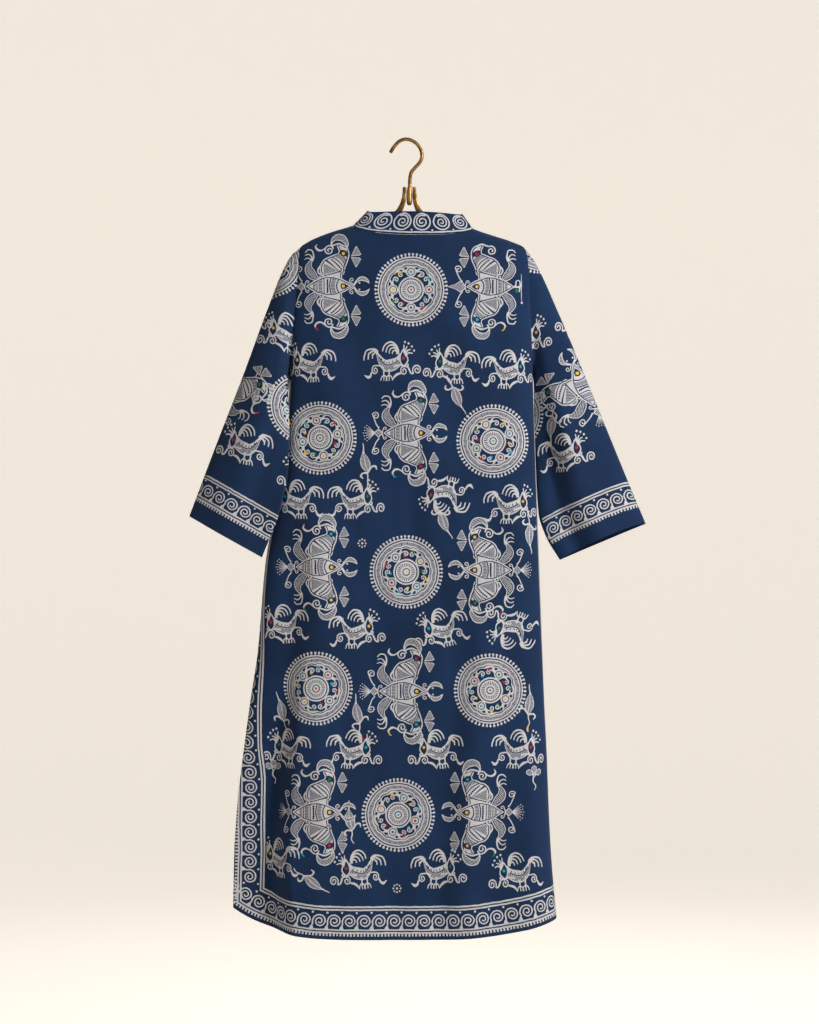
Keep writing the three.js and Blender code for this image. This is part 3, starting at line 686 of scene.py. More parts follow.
def fin(x, y, turn):
    """A pair of hatched triangles that spread from one point."""
    one = hatched([(0, 0.6), (13.5, 1.6), (16.5, 3.6), (9.5, 16.5), (7.6, 16.5)], 35)
    return placed(both(one), x, y, turn)


def hand_curls(x, y, turn):
    """Three curling fingers."""
    fingers = [brush([(0, 0, 2.2), (1, 8, 1.6), (6, 15.5, 1.3), (13.5, 14.5, 1.2), (16.5, 9, 1.0)]),
               brush([(0, 1, 2.0), (5, 6.5, 1.3), (10.5, 8, 1.1), (15, 4.5, 0.9)]),
               brush([(0, 0, 1.8), (5, 1.5, 1.2), (10, 1.4, 1.0), (14, -1.5, 0.8)])]
    return placed(fingers, x, y, turn)


def head_wing(tint):
    """A bird's head and neck in bands, which widens downwards; its beak curls over into a spiral."""
    bands = ((0.27, 0.31, INDIGO, -0.04), (0.34, 0.465, HATCHED, -0.04), (0.49, 0.515, INDIGO, -0.03),
             (0.52, 0.62, "dots", -0.02), (0.635, 0.66, INDIGO, -0.01), (0.685, 0.78, HATCHED, 0.0),
             (0.80, 0.825, INDIGO, 0.0))
    shapes = form([(-13, 66, 3.0), (-21, 58, 8.2), (-21, 48, 10.2), (-12, 37, 16.0), (-4, 28, 20.5),
                   (-5, 19, 16.0), (-8, 8, 11.5)], bands=bands)
    eye = curve([(-30.5, 51), (-25, 56.5), (-17.5, 58), (-15.5, 52), (-22, 47.5), (-30.5, 51)], 3)[:-1]
    shapes += [shape(INDIGO, eye), disc(-21.3, 52.3, 2.4, tint, 8),
               coil(1.5, 57.5, 8.3, 1.55, 118, -1, 1.35, [(-22, 64.5, 1.6), (-14, 68, 1.8)]),
               coil(14.0, 15.5, 4.8, 1.2, 55, 1, 1.35, [(15, 33, 1.8), (19.5, 26, 1.7)])]
    return shapes + fin(-33.5, 47, 180)


def crescent(points, way=70):
    """A hatched crescent along a curved middle line."""
    line = curve(points, 5)
    inner = line[2:-2].copy()
    inner[:, 2] -= 1.5
    inner = inner[inner[:, 2] > 0.3]
    left, right = sides_of(inner)
    hatch = (*polar(1 / 2.3, math.radians(way)), 0)
    return [stroke(line), shape(HATCHED, np.vstack([left, right[::-1]]), hatch)]


def tail_fin(late):
    """A hatched fin at the left of a joint, between two long tendrils; the late kind ends in a fan."""
    shapes = both([coil(-50.5, 27.5, 6.3, 1.35, 150, -1, 1.1, [(-45, 8, 1.5), (-50, 15, 1.1)]),
                   coil(-35.5, 7.0, 3.4, 1.1, 200, -1, 0.9, [(-41, 1, 1.3)])])
    if not late:
        return shapes + hatched([(-39, 0.5), (-45, 8.5), (-49, 9), (-56, 4), (-67.5, 0.5), (-67.5, -0.5),
                                 (-56, -4), (-49, -9), (-45, -8.5), (-39, -0.5)], 65)
    shapes += hatched([(-39, 0), (-46, 7.5), (-53, 0.8), (-53, -0.8), (-46, -7.5)], 65)
    for k in range(7):
        x, y = polar(14.5 + 1.2 * (k % 2), math.radians(180 + 15 * (k - 3))) - (52, 0)
        shapes += [stroke(np.array([(-51.5, 0, 0.7), (x, y, 0.45)])), disc(x - 2.3, y * 1.17, 0.95, WHITE, 6)]
    return shapes


def creature(tints, late=True):
    """A fish with hatched bands and, above and below it, a bird's head; curling fins all round.

    The fish looks left. The early kind has its tendrils there, the late kind a pair of claws.
    """
    shapes = head_wing(tints[0]) + flip(head_wing(tints[1]))
    low = crescent([(-26, -58, 0.6), (-27, -68, 3.2), (-19, -77.5, 5.6), (-8, -78, 4.6), (-2, -69, 1.6),
                    (-5, -60, 1.2)])
    plume = [brush([(6, -63, 1.3), (12.5, -58, 1.4), (19, -58, 2.2), (23.5, -62.5, 1.9), (21.5, -68, 0.8)]),
             brush([(22.2, -64.5, 1.2), (21.6, -68, 1.3), (18.4, -70, 0.9)], tints[2])]
    shapes += low + plume
    if late:
        shapes += flip(low) + flip(plume[:1])
    leafy = form([(17, 9, 2), (27, 17, 6.8), (34, 27, 7.2), (33, 36, 4.0), (28.5, 42, 1.5)], 1.5, 1.2,
                 ((0.08, 0.92, HATCHED, 0),), WHITE) + hand_curls(28, 41, 18)
    shapes += both(leafy) + placed(tail_fin(late), mirror=late)
    if late:
        claw = crescent([(-38, 1, 1.2), (-43, 8, 2.0), (-50, 12, 3.6), (-58, 10, 3.0), (-63, 4.5, 0.6)], 30)
        claw += [coil(-35, 9.5, 4.2, 1.15, -60, 1, 0.95, [(-39.5, 2, 1.2)]), disc(-47, 5, 1.5, WHITE, 7)]
        shapes += both(claw)
    else:
        shapes += [brush([(36, 0, 1.4), (41, 3, 1.3), (41.5, 9, 1.1), (46.5, 10, 1.1), (48, 3, 1.5),
                          (47, -3, 1.4), (46, -8, 1.0)]),
                   brush([(37, 0, 1.8), (47.5, 0, 2.0)]), disc(42.5, -6.3, 3.0, tints[3], 9),
                   brush([(50, 21, 0.4), (50, 3, 0.8), (49.5, -10, 0.7), (50.5, -24, 0.6)]),
                   disc(50.3, -25, 1.9)]
    fish = [(-38, 0, 0.4), (-26, 0.4, 8.2), (-10, 0.4, 15.0), (4, 0.2, 16.2), (19, 0, 12.2), (31, 0, 5.2),
            (38, 0, 0.5)]
    bands = ((0.30, 0.325, INDIGO, 0.05), (0.36, 0.44, HATCHED, 0.04), (0.46, 0.485, INDIGO, 0.03),
             (0.50, 0.60, "dots", 0), (0.615, 0.635, INDIGO, 0), (0.66, 0.74, HATCHED, 0),
             (0.76, 0.78, INDIGO, 0), (0.80, 0.86, HATCHED, 0))
    shapes += form(fish, 2.0, 1.5, bands)
    eye = [(-30.5, 0), (-24, 4.6), (-18.5, 4.6), (-16.5, 0), (-18.5, -4.6), (-24, -4.6)]
    return shapes + [shape(INDIGO, eye),
                     disc(-21.6, 0, 2.7, YELLOW, 9)]


TALL = (1.04, 1.24)   # how far a bird is drawn out, across and up


def bird(tint):
    """A small bird that faces left: crown, plumes, a boat-shaped body with a hatched belly, and curls."""
    line = curve([(-23, 9, 4.6), (-17, 1.5, 6.6), (-7, -3.5, 8.0), (3, -4.5, 7.6), (10.5, 1.5, 4.9),
                  (15.5, 9.5, 2.4), (20, 15, 1.0)])
    left, right = sides_of(line)
    middle = line[:, :2]
    shapes = [shape(WHITE, np.vstack([left, right[::-1]]))]
    belly = np.vstack([mix(middle, right, 0.05)[3:27], mix(middle, right, 0.8)[3:27][::-1]])
    shapes.append(shape(HATCHED, belly, (0.4, 0.2, 0)))
    arc = np.column_stack([mix(middle, left, 0.12)[5:24], np.full(19, 0.8)])
    shapes.append(stroke(arc, INDIGO))
    for k in range(6, 22, 3):
        x, y = mix(middle, left, 0.5)[k]
        shapes += placed([shape(INDIGO, [(-1.2, -1.3), (1.2, -1.3), (0, 1.8)])], x, y)
    eye = curve([(-25.5, -4.5), (-30.5, 2.5), (-27.5, 10.5), (-24, 14.5), (-20.5, 8), (-21, 0),
                 (-25.5, -4.5)], 3)[:-1]
    centre = eye.mean(axis=0)
    shapes += [shape(WHITE, centre + (eye - centre) * 1.32), shape(INDIGO, eye),
               disc(-24.7, 5.2, 2.1, tint, 8)]
    for k, (x, y) in enumerate(((-26, 24.5), (-31.5, 22.5), (-36.5, 18.5), (-40, 13))):
        plume = [(-24.5 - k, 14 - 2 * k, 2.0), ((x - 24) / 2 - 0.5, (y + 12) / 2, 1.25),
                 (x + 1, y - 1.5, 0.9)]
        shapes += [brush(plume, steps=3),
                   disc(x - 1.2, y + 2.2, 1.65, WHITE, 7)]
    for k in range(4):
        r = 12.5 - 2.9 * k
        a = np.radians(np.linspace(188, 8 - 4 * k, 9))
        x, y = -16.5 + r + 0.6 * k + r * np.cos(a), 12.5 - 0.5 * k + r * 1.15 * np.sin(a)
        shapes.append(stroke(np.column_stack([x, y, np.linspace(1.5, 0.85, 9) * (1 - 0.05 * k)])))
    for k in range(3):
        x, y = 37 - 6.5 * k, 4.5 + 1.2 * k
        shapes.append(brush([(15.5, 13.5 - k, 2.0), (21.5 - k, 17.5 - 2 * k, 1.6),
                             (mix(22, x, 0.72), 15.5 - 3 * k, 1.4), (x, y + 4, 1.4), (x + 0.5, y - 2, 1.1)]))
    shapes += [coil(20, -10.5, 6.3, 1.6, 105, -1, 1.15, [(7, -7.5, 1.8), (12, -4.5, 1.3)]),
               brush([(25.5, -13, 1.4), (27.5, -18, 2.0), (31.5, -20, 2.4), (37, -17, 0.5)]),
               coil(-46, -10, 7.4, 1.7, -40, 1, 1.25, [(-32, -7, 1.9), (-36, -14, 1.5)]),
               coil(-25.5, -11.5, 6.4, 1.5, 110, -1, 1.2, [(-31.5, -2, 1.9), (-31, -6, 1.5)]),
               brush([(-9, -6, 2.0), (-17, -4, 1.5), (-24, -4.5, 1.4), (-31, -6, 1.3)]),
               brush([(-20.5, -14.5, 1.3), (-15, -16, 2.2), (-10.5, -19, 2.0), (-8, -23, 0.7)])]
    for x in (-2.5, 6.0):
        shapes.append(brush([(x, -9, 2.6), (x + 0.4, -14, 1.4), (x + 0.2, -19, 1.3)], steps=3))
        for way in (-5.0, 0.3, 5.4):
            toe = [(x + 0.2, -17, 1.1), (x + way * 0.7, -19.5, 1.1), (x + way, -24.5, 0.8)]
            shapes.append(brush(toe, steps=3))
    return [(ink, outline * TALL, hatch / (*TALL, 1)) for ink, outline, hatch in shapes]


def leaf(tint=None):
    """A hatched leaf on a stem, with a mid-vein and two curls at its foot."""
    line = curve([(0, 14, 0.8), (2, 8, 5.2), (4.5, 0, 8.0), (8, -9, 6.6), (12, -17, 2.2), (15, -21, 0.9)])
    left, right = sides_of(line)
    middle = line[:, :2]
    shapes = [shape(WHITE, np.vstack([left, right[::-1]]))]
    for edge, slope in ((left, 0.36), (right, -0.36)):
        half = np.vstack([mix(middle, edge, 0.1)[2:-5], mix(middle, edge, 0.8)[2:-5][::-1]])
        shapes.append(shape(HATCHED, half, (slope * 0.55, 0.42, 0)))
    shapes += [brush([(0, 12, 1.3), (-4, 19, 1.2), (-9, 25, 1.1), (-9.5, 33, 1.0)]),
               brush([(12, -17, 1.3), (15.5, -22, 1.2), (19, -27, 1.0), (21, -31, 0.7)]),
               brush([(-1, 13, 2.0), (-8, 9, 1.7), (-13, 11, 2.0), (-12, 16.5, 1.0)]),
               brush([(2, 12, 2.0), (11, 8.5, 1.7), (16, 11.5, 2.0), (14, 17, 0.8)])]
    if tint is not None:
        shapes.append(brush([(-9.5, 31, 1.6), (-11, 36, 2.2), (-14, 38.5, 1.2)], tint, 3))
    return shapes


def dots():
    """A flower of round dots."""
    ring = [disc(*polar(6.2, k * TURN / 8), 1.55, WHITE, 7) for k in range(8)]
    return ring + [disc(0, 0, 2.0, WHITE, 8)]


def petals(tint):
    """A flower of three hatched petals on a curling stem."""
    shapes = []
    for k in range(3):
        petal = hatched([(1.5, 0), (7, 5), (13, 4.5), (15.5, 0), (13, -4.5), (7, -5)], 0, 2.2, 1.4)
        shapes += placed(petal, turn=90 + 62 * (k - 1))
    stem = brush([(0, 0, 1.6), (-2, -10, 1.3), (3, -18, 1.1), (1, -25, 0.8)])
    return shapes + [stem, disc(0, 0, 3.0), disc(0, 0, 1.6, tint, 7)]


def scroll_unit():
    """One wave of the running scroll: up from its thorn, over the top and round into the middle."""
    foot = [(-15.6, -12.4, 0.6), (-13.6, -10.2, 1.4)]
    thorn = shape(WHITE, [(-16.4, -13.8), (-8.6, -13.4), (-10.2, -8.2), (-12.8, -7.4)])
    return [thorn, coil(0.6, -0.4, 12.3, 2.0, 205, -1, 1.55, foot)]


# ---- Where the motifs stand: x, z, then a turn or a kind, and whether it is mirrored ----
BODY_PRINT = {
    "medallions": [(10, -248), (-139, -491), (144, -496), (2, -710), (-145, -900), (139, -903), (-11, -1107)],
    "creatures": [(-123, -242, "late", True), (140, -243, "early", False), (4, -483, "late", True),
                  (-142, -702, "late", True), (136, -707, "late", False), (-3, -905, "late", True),
                  (-145, -1102, "late", True), (123, -1102, "late", False)],
    "birds": [(-152, -369, 0, False), (-28, -367, 0, True), (83, -372, 0, False), (164, -380, 0, True),
              (-87, -593, 0, True), (-172, -593, 0, False), (69, -584, 165, True), (168, -601, 0, True),
              (-194, -797, 5, False), (-85, -805, 0, True), (65, -802, 14, False), (180, -805, 160, True),
              (-90, -1001, -5, True), (-188, -1001, 0, False), (57, -1001, 5, False), (180, -1001, -4, True),
              (-204, -1181, 0, False), (-70, -1197, 6, False), (49, -1197, 0, True), (188, -1201, 8, False)],
    "leaves": [(79, -421, 0, False), (-68, -537, 215, True), (57, -625, 0, False), (200, -644, -22, False),
               (-197, -942, 166, False), (-81, -946, 214, True), (-93, -1120, 212, True),
               (-157, -1217, 30, False), (207, -931, 152, False)],
    "flowers": [(-70, -663), (-13, -1227)],
    "petals": [(-216, -1034, 0), (211, -1042, 0)]}
LEFT_PRINT = {"medallions": [(-226, -206), (-161, -440)], "creatures": [(-292, -408, 66, True)],
              "birds": [(-188, -322, 0, False), (-251, -509, -8, False), (-151, -549, 0, False)],
              "leaves": [(-237, -417, 22, True)]}
RIGHT_PRINT = {"medallions": [(218, -163), (165, -452)], "creatures": [(291, -411, -62, False)],
               "birds": [(186, -324, 0, True), (256, -519, 6, True)], "leaves": [(235, -468, -30, False)]}
TINTS = [(YELLOW, GREEN, RED, CYAN), (RED, CYAN, YELLOW, GREEN), (GREEN, RED, CYAN, YELLOW),
         (CYAN, YELLOW, GREEN, RED)]


def wobble(uv):
    """The hand's unsteadiness: a slow wander of a third of a millimetre, the same for all lines that meet."""
    u, v = uv[:, 0], uv[:, 1]
    return uv + np.stack([0.34 * np.sin(u * 0.31 + v * 0.17 + 1.3) * np.sin(v * 0.23),
                          0.34 * np.sin(v * 0.29 - u * 0.13 + 0.4) * np.sin(u * 0.27)], axis=1)


def field(layout, at=lambda x, z: (x, z)):
    """All the motifs of a piece; at turns a place on the hanging jacket into one on the flat cloth."""
    shapes = []
    for k, (x, z, turn, mirrored) in enumerate(layout.get("leaves", ())):
        tint = TINTS[k % 4][0] if k % 3 == 2 else None
        shapes += placed(leaf(tint), *at(x, z), turn, 1.0, mirrored)
    for k, (x, z, turn, mirrored) in enumerate(layout.get("birds", ())):
        shapes += placed(bird(TINTS[k % 4][k // 4 % 4]), *at(x, z), turn, 1.0, mirrored)
    for k, (x, z, kind, mirrored) in enumerate(layout.get("creatures", ())):
        turn = 0 if isinstance(kind, str) else kind
        shapes += placed(creature(TINTS[k % 4], kind != "early"), *at(x, z), turn, 1.03, mirrored)
    for k, (x, z) in enumerate(layout.get("medallions", ())):
        shapes += placed(medallion(TINTS[(k + 1) % 4]), *at(x, z), 12 * k)
    for x, z in layout.get("flowers", ()):
        shapes += placed(dots(), *at(x, z))
    for k, (x, z, turn) in enumerate(layout.get("petals", ())):
        shapes += placed(petals(TINTS[k % 4][1]), *at(x, z), turn)
    return shapes


# ---- The print's borders ----
# How much of the border is turned under at the back's side edges.
LEFT_TURNED = table("z under", (-386, 38), (-756, 34), (-868, 28), (-925, 27), (-992, 21), (-1058, 8),
                    (-1124, 3), (-1177, 0), (-1311, 0))
RIGHT_TURNED = table("z under", (-386, 60), (-470, 48), (-560, 40), (-620, 38), (-760, 38), (-900, 41),
                     (-1311, 45))
# Where the border's parts lie, in from its outer edge, and the steps of its teeth and of its scroll.
BORDER = {"teeth": 5.4, "pitch": 5.6, "lines": ((5.2, 7.8), (9.9, 12.4), (42.6, 45.2), (47.4, 50.2)),
          "scroll": 25.6, "dots": 39.4, "step": 24.6}
BORDER_MARGINS = (0.8, 5.0, 0.8)   # the plain strips outside it: at the side, the hem and the other side


def unit(way):
    """A way of length 1."""
    return way / np.linalg.norm(way)


def lengthened(path, reach):
    """A path with a straight piece added at both ends."""
    first, last = unit(path[0] - path[2]), unit(path[-1] - path[-3])
    return np.vstack([path[0] + first * reach, path, path[-1] + last * reach])


def inward(path, d):
    """A path moved to its left by d."""
    run = np.gradient(path, axis=0)
    run /= np.linalg.norm(run, axis=1, keepdims=True)
    return path + d * np.stack([-run[:, 1], run[:, 0]], axis=1)


def along_path(path, step):
    """Even stations along a path: place, and the path's direction in degrees."""
    length = run_length(path)
    count = max(int(round(length[-1] / step)), 1)
    at = (np.arange(count) + 0.5) * length[-1] / count
    (x, y), (x2, y2), (x1, y1) = ([np.interp(at + ahead, length, path[:, k]) for k in range(2)]
                                  for ahead in (0, 1, -1))
    return zip(x, y, np.degrees(np.arctan2(y2 - y1, x2 - x1)))


def trimmed(path, before, after):
    """A path shortened at both ends, or lengthened where a value is negative."""
    length = run_length(path)
    at = np.linspace(before, length[-1] - after, len(path))
    inside = np.clip(at, 0, length[-1])
    out = np.stack([np.interp(inside, length, path[:, k]) for k in range(2)], axis=1)
    out += (inside - at)[:, None] * np.where((at < 0)[:, None], unit(path[0] - path[1]), 0)
    out -= (inside - at)[:, None] * np.where((at > length[-1])[:, None], unit(path[-1] - path[-2]), 0)
    return out


def border(edges, margins, size=1.0):
    """A border inside a run of edges that go counterclockwise round the cloth and meet at corners.

    margins are the plain strips outside it. Dyed ground under it covers the motifs that run into it.
    """
    inmost = BORDER["lines"][-1][1] + 2
    shapes = [shape(INDIGO, np.vstack([inward(edge, -30), inward(edge, margin + inmost * size)[::-1]]))
              for edge, margin in zip(edges, margins)]
    for line in BORDER["lines"]:
        outer, inner = (join([inward(edge, margin + d * size) for edge, margin in zip(edges, margins)])
                        for d in line)
        shapes.append(shape(WHITE, np.vstack([outer, inner[::-1]])))
    tooth = shape(WHITE, [(-1.45, -4.6), (1.45, -4.6), (1.45, 0.6), (-1.45, 0.6)])
    for k, (edge, margin) in enumerate(zip(edges, margins)):
        starts, ends = k > 0, k + 1 < len(edges)
        before = BORDER["scroll"] * size + margins[k - 1] - 12 if starts else 0
        after = BORDER["scroll"] * size + margins[k + 1] + 10 if ends else 0
        rail = trimmed(inward(edge, margin + BORDER["scroll"] * size), before, after)
        for x, y, turn in along_path(rail, BORDER["step"] * size):
            shapes += placed(scroll_unit(), x, y, turn, size)
            spot = disc(BORDER["step"] / 2, BORDER["dots"] - BORDER["scroll"], 1.9, WHITE, 7)
            shapes += placed([spot], x, y, turn, size)
        foot = trimmed(inward(edge, margin + BORDER["teeth"] * size), 2 + margins[k - 1] if starts else 0,
                       2 + margins[k + 1] if ends else 0)
        for x, y, turn in along_path(foot, BORDER["pitch"] * size):
            shapes += placed([tooth], x, y, turn, size)
    return shapes


def join(rails):
    """Joins rails into one path, cutting each pair of neighbours where they cross."""
    path = rails[0]
    for nxt in rails[1:]:
        met = np.vstack([path, nxt])
        for i in range(len(path) - 2, -1, -1):
            a, b = path[i], path[i + 1]
            d = nxt[1:] - nxt[:-1]
            e = b - a
            cross = e[0] * d[:, 1] - e[1] * d[:, 0]
            cross = np.where(np.abs(cross) < 1e-12, 1e-12, cross)
            t = ((nxt[:-1, 0] - a[0]) * d[:, 1] - (nxt[:-1, 1] - a[1]) * d[:, 0]) / cross
            s = ((nxt[:-1, 0] - a[0]) * e[1] - (nxt[:-1, 1] - a[1]) * e[0]) / cross
            hit = np.flatnonzero((t >= 0) & (t <= 1) & (s >= 0) & (s <= 1))
            if len(hit):
                j = hit[0]
                met = np.vstack([path[:i + 1], a + t[j] * e, nxt[j + 1:]])
                break
        path = met
    return path


# ---- Cloth meshes ----
def srgb(*values):
    """A screen colour as the linear one that a shader takes."""
    v = np.array(values) / 255
    return np.where(v <= 0.04045, v / 12.92, ((v + 0.055) / 1.055) ** 2.4)


WAX_WHITE = (206, 207, 211)
TINT_COLOURS = ((236, 190, 28), (196, 24, 44), (34, 122, 52), (28, 168, 196))
INKS = np.array([[0, 0, 0, 0]] + [[*srgb(*ink), 1] for ink in (WAX_WHITE, WAX_WHITE, *TINT_COLOURS)])


def triangulate(outline, shapes, inside):
    """Triangles of the cloth with every outline of the print as edges, and each one's topmost shape."""
    rings = [outline] + [wobble(s[1]) for s in shapes]
    points = np.vstack(rings + [inside])
    starts = np.cumsum([0] + [len(ring) for ring in rings])
    edges = np.vstack([np.stack([np.arange(a, b), np.roll(np.arange(a, b), -1)], axis=1)
                       for a, b in zip(starts[:-1], starts[1:])])
    result = delaunay_2d_cdt([Vector(p) for p in points.tolist()], edges.tolist(), [], 0, 1e-3, False)
    uv = np.array([tuple(p) for p in result[0]])
    triangles = np.array(result[2])
    area = np.cross(uv[triangles[:, 1]] - uv[triangles[:, 0]], uv[triangles[:, 2]] - uv[triangles[:, 0]])
    triangles = np.where((area < 0)[:, None], triangles[:, ::-1], triangles)
    middle = uv[triangles].mean(axis=1)
    order = np.argsort(middle[:, 0])
    sorted_x = middle[order, 0]
    top = np.full(len(triangles), -1)
    for k, ring in enumerate(rings):
        low, high = ring.min(axis=0), ring.max(axis=0)
        near = order[np.searchsorted(sorted_x, low[0]):np.searchsorted(sorted_x, high[0])]
        near = near[(middle[near, 1] >= low[1]) & (middle[near, 1] <= high[1])]
        if k:
            near = near[top[near] >= 0]
        top[near[inside_ring(middle[near], ring)]] = k
    keep = (top >= 0) & (np.abs(area) > 1e-5)
    return uv, triangles[keep], top[keep]


def inside_ring(points, ring):
    """Which points lie inside a ring, by how often it winds round them."""
    winding = np.zeros(len(points), dtype=int)
    x, y = points[:, 0], points[:, 1]
    for (x1, y1), (x2, y2) in zip(ring, np.roll(ring, -1, axis=0)):
        if y1 == y2:
            continue
        left = (x2 - x1) * (y - y1) - (x - x1) * (y2 - y1)
        winding += ((y1 <= y) & (y < y2) & (left > 0)).astype(int)
        winding -= ((y2 <= y) & (y < y1) & (left < 0)).astype(int)
    return winding != 0


def rim_of(triangles):
    """The loops of edges that belong to only one triangle, in their direction."""
    edges = np.vstack([triangles[:, [0, 1]], triangles[:, [1, 2]], triangles[:, [2, 0]]])
    seen = set(map(tuple, edges.tolist()))
    following = {a: b for a, b in seen if (b, a) not in seen}
    loops = []
    while following:
        start, b = next(iter(following.items()))
        loop = [start]
        del following[start]
        while b != start and b in following:
            loop.append(b)
            b = following.pop(b)
        loops.append(loop)
    return max(loops, key=len)


def plain_wall(uv, loop, coarse):
    """The inner wall: the same rim, divided at few points. Gives its chart, triangles and rim."""
    count = len(loop)
    points = [Vector(p) for p in np.vstack([uv[loop], coarse]).tolist()]
    result = delaunay_2d_cdt(points, [], [list(range(count))], 0, 0, True)
    place_of = {old: new for new, olds in enumerate(result[3]) for old in olds}
    triangles = np.array([t for t, face in zip(result[2], result[5]) if face])
    return np.array([tuple(p) for p in result[0]]), triangles, np.array([place_of[k] for k in range(count)])


def mesh_of(name, points, faces):
    """A mesh of triangles, smooth all over."""
    mesh = bpy.data.meshes.new(name)
    mesh.vertices.add(len(points))
    mesh.vertices.foreach_set("co", (points * MM).ravel())
    mesh.loops.add(faces.size)
    mesh.loops.foreach_set("vertex_index", faces.ravel())
    mesh.polygons.add(len(faces))
    mesh.polygons.foreach_set("loop_start", np.arange(len(faces)) * 3)
    mesh.update(calc_edges=True)
    mesh.polygons.foreach_set("use_smooth", np.ones(len(faces), dtype=bool))
    return mesh


def lay_print(mesh, shapes, top, chart_uv):
    """The ink and the hatching of each corner of the outer wall; the other corners stay unprinted."""
    printed = 3 * len(top)
    inks = np.array([0] + [s[0] for s in shapes])[top]
    tilt = np.repeat(np.vstack([NO_HATCH] + [s[2] for s in shapes])[top], 3, axis=0)
    ink = np.zeros((len(chart_uv), 4))
    ink[:printed] = np.repeat(INKS[inks], 3, axis=0)
    hatch = np.zeros((len(chart_uv), 3))
    hatch[:printed, 0] = (tilt[:, :2] * chart_uv[:printed]).sum(axis=1) + tilt[:, 2]
    hatch[:printed, 1] = np.repeat(inks == HATCHED, 3)
    mesh.attributes.new("print", "FLOAT_COLOR", "CORNER").data.foreach_set("color", ink.ravel())
    mesh.attributes.new("hatch", "FLOAT_VECTOR", "CORNER").data.foreach_set("vector", hatch.ravel())


def lay_charts(mesh, chart_uv, inner_corners):
    """The cloth's flat chart in metres, and a second one with the inner wall beside the outer one."""
    low = chart_uv.min(axis=0)
    span = chart_uv.max(axis=0) - low + 6
    shift = np.array([span[0], 0]) if span[0] < span[1] else np.array([0, span[1]])
    bake = (chart_uv - low + 3 + inner_corners[:, None] * shift) / max(span + shift)
    for name, uv in (("cloth", chart_uv * MM), ("OFBake", bake)):
        mesh.uv_layers.new(name=name).data.foreach_set("uv", uv.ravel())


def cloth(name, chart, outline, inside, shapes, coarse):
    """A piece of cloth with its print: an outer wall, an inner one, and the rim between them.

    inside and coarse are the chart points that the outer and inner walls are divided at.
    """
    uv, triangles, top = triangulate(outline, shapes, inside)
    used = np.unique(triangles)
    renumber = np.full(len(uv), -1)
    renumber[used] = np.arange(len(used))
    uv, triangles = uv[used], renumber[triangles]
    loop = rim_of(triangles)
    back_uv, back_triangles, back_loop = plain_wall(uv, loop, coarse)
    front_points, front_normals = chart.surface(uv)
    back_points, back_normals = chart.surface(back_uv)
    points = np.vstack([front_points + front_normals * CLOTH / 2, back_points - back_normals * CLOTH / 2])
    ring = np.roll(loop, -1)
    foot = back_loop + len(uv)
    rim = np.vstack([np.stack([ring, loop, foot], axis=1), np.stack([ring, foot, np.roll(foot, -1)], axis=1)])
    faces = np.vstack([triangles, back_triangles[:, ::-1] + len(uv), rim])
    mesh = mesh_of(name, points, faces)

    corner = faces.ravel()
    chart_uv = np.vstack([uv, back_uv])[corner]
    inner = slice(triangles.size, triangles.size + back_triangles.size)
    inner_corners = np.zeros(len(corner))
    inner_corners[inner] = 1
    lay_print(mesh, shapes, top, chart_uv)
    lay_charts(mesh, chart_uv, inner_corners)

    normals = np.vstack([front_normals, -back_normals])[corner]
    away = np.cross(points[ring] - points[loop], front_normals[loop])
    away /= np.maximum(np.linalg.norm(away, axis=1, keepdims=True), 1e-9)
    normals[inner.stop:] = np.repeat(np.vstack([away, away]), 3, axis=0)
    mesh.normals_split_custom_set(normals.tolist())
    piece = bpy.data.objects.new(name, mesh)
    bpy.context.scene.collection.objects.link(piece)
    return piece, outline_area(outline) * MM ** 2, np.ptp(chart_uv, axis=0) * MM


def outline_area(ring):
    """The area inside a ring, by the sum of its sides' cross products."""
    x, y = ring[:, 0], ring[:, 1]
    return abs(np.sum(x * np.roll(y, -1) - np.roll(x, -1) * y)) / 2


# ---- Materials ----
def new_group(name, inputs, outputs):
    """An empty shader node group; inputs and outputs are (name, kind, default)."""
    group = bpy.data.node_groups.new(name, "ShaderNodeTree")
    for label, kind, default in inputs:
        socket = group.interface.new_socket(label, in_out="INPUT", socket_type=kind)
        if default is not None:
            socket.default_value = default
    for label, kind in outputs:
        group.interface.new_socket(label, in_out="OUTPUT", socket_type=kind)
    return group, group.nodes.new("NodeGroupInput"), group.nodes.new("NodeGroupOutput")


class Wires:
    """Adds nodes to a tree and links them."""

    def __init__(self, tree):
        self.tree = tree

    def feed(self, socket, value):
        """Links an output to a socket, or sets the socket to a constant."""
        if hasattr(value, "is_output"):
            self.tree.links.new(value, socket)
        else:
            socket.default_value = value

    def node(self, kind, settings=None, **sockets):
        """A node with its settings; a socket is named by its label, or by i and its number."""
        node = self.tree.nodes.new(kind)
        for key, value in (settings or {}).items():
            setattr(node, key, value)
        for key, value in sockets.items():
            numbered = key[0] == "i" and key[1:].isdigit()
            self.feed(node.inputs[int(key[1:]) if numbered else key.replace("_", " ")], value)
        return node

    def math(self, operation, a, b=0.0, clamp=False):
        settings = {"operation": operation, "use_clamp": clamp}
        return self.node("ShaderNodeMath", settings, i0=a, i1=b).outputs[0]

    def mix(self, factor, a, b, blend="MIX"):
        node = self.node("ShaderNodeMix", {"data_type": "RGBA", "blend_type": blend})
        for index, value in ((0, factor), (6, a), (7, b)):
            self.feed(node.inputs[index], value)
        return node.outputs[2]

    def noise(self, vector, scale, detail=3.0, rough=0.5):
        return self.node("ShaderNodeTexNoise", None, Vector=vector, Scale=scale, Detail=detail,
                         Roughness=rough).outputs["Fac"]

    def ramp(self, value, low, high, to_low=0.0, to_high=1.0):
        """A smooth step between two values, from to_low up to to_high."""
        settings = {"interpolation_type": "SMOOTHSTEP"}
        return self.node("ShaderNodeMapRange", settings, Value=value, i1=low, i2=high, i3=to_low,
                         i4=to_high).outputs[0]


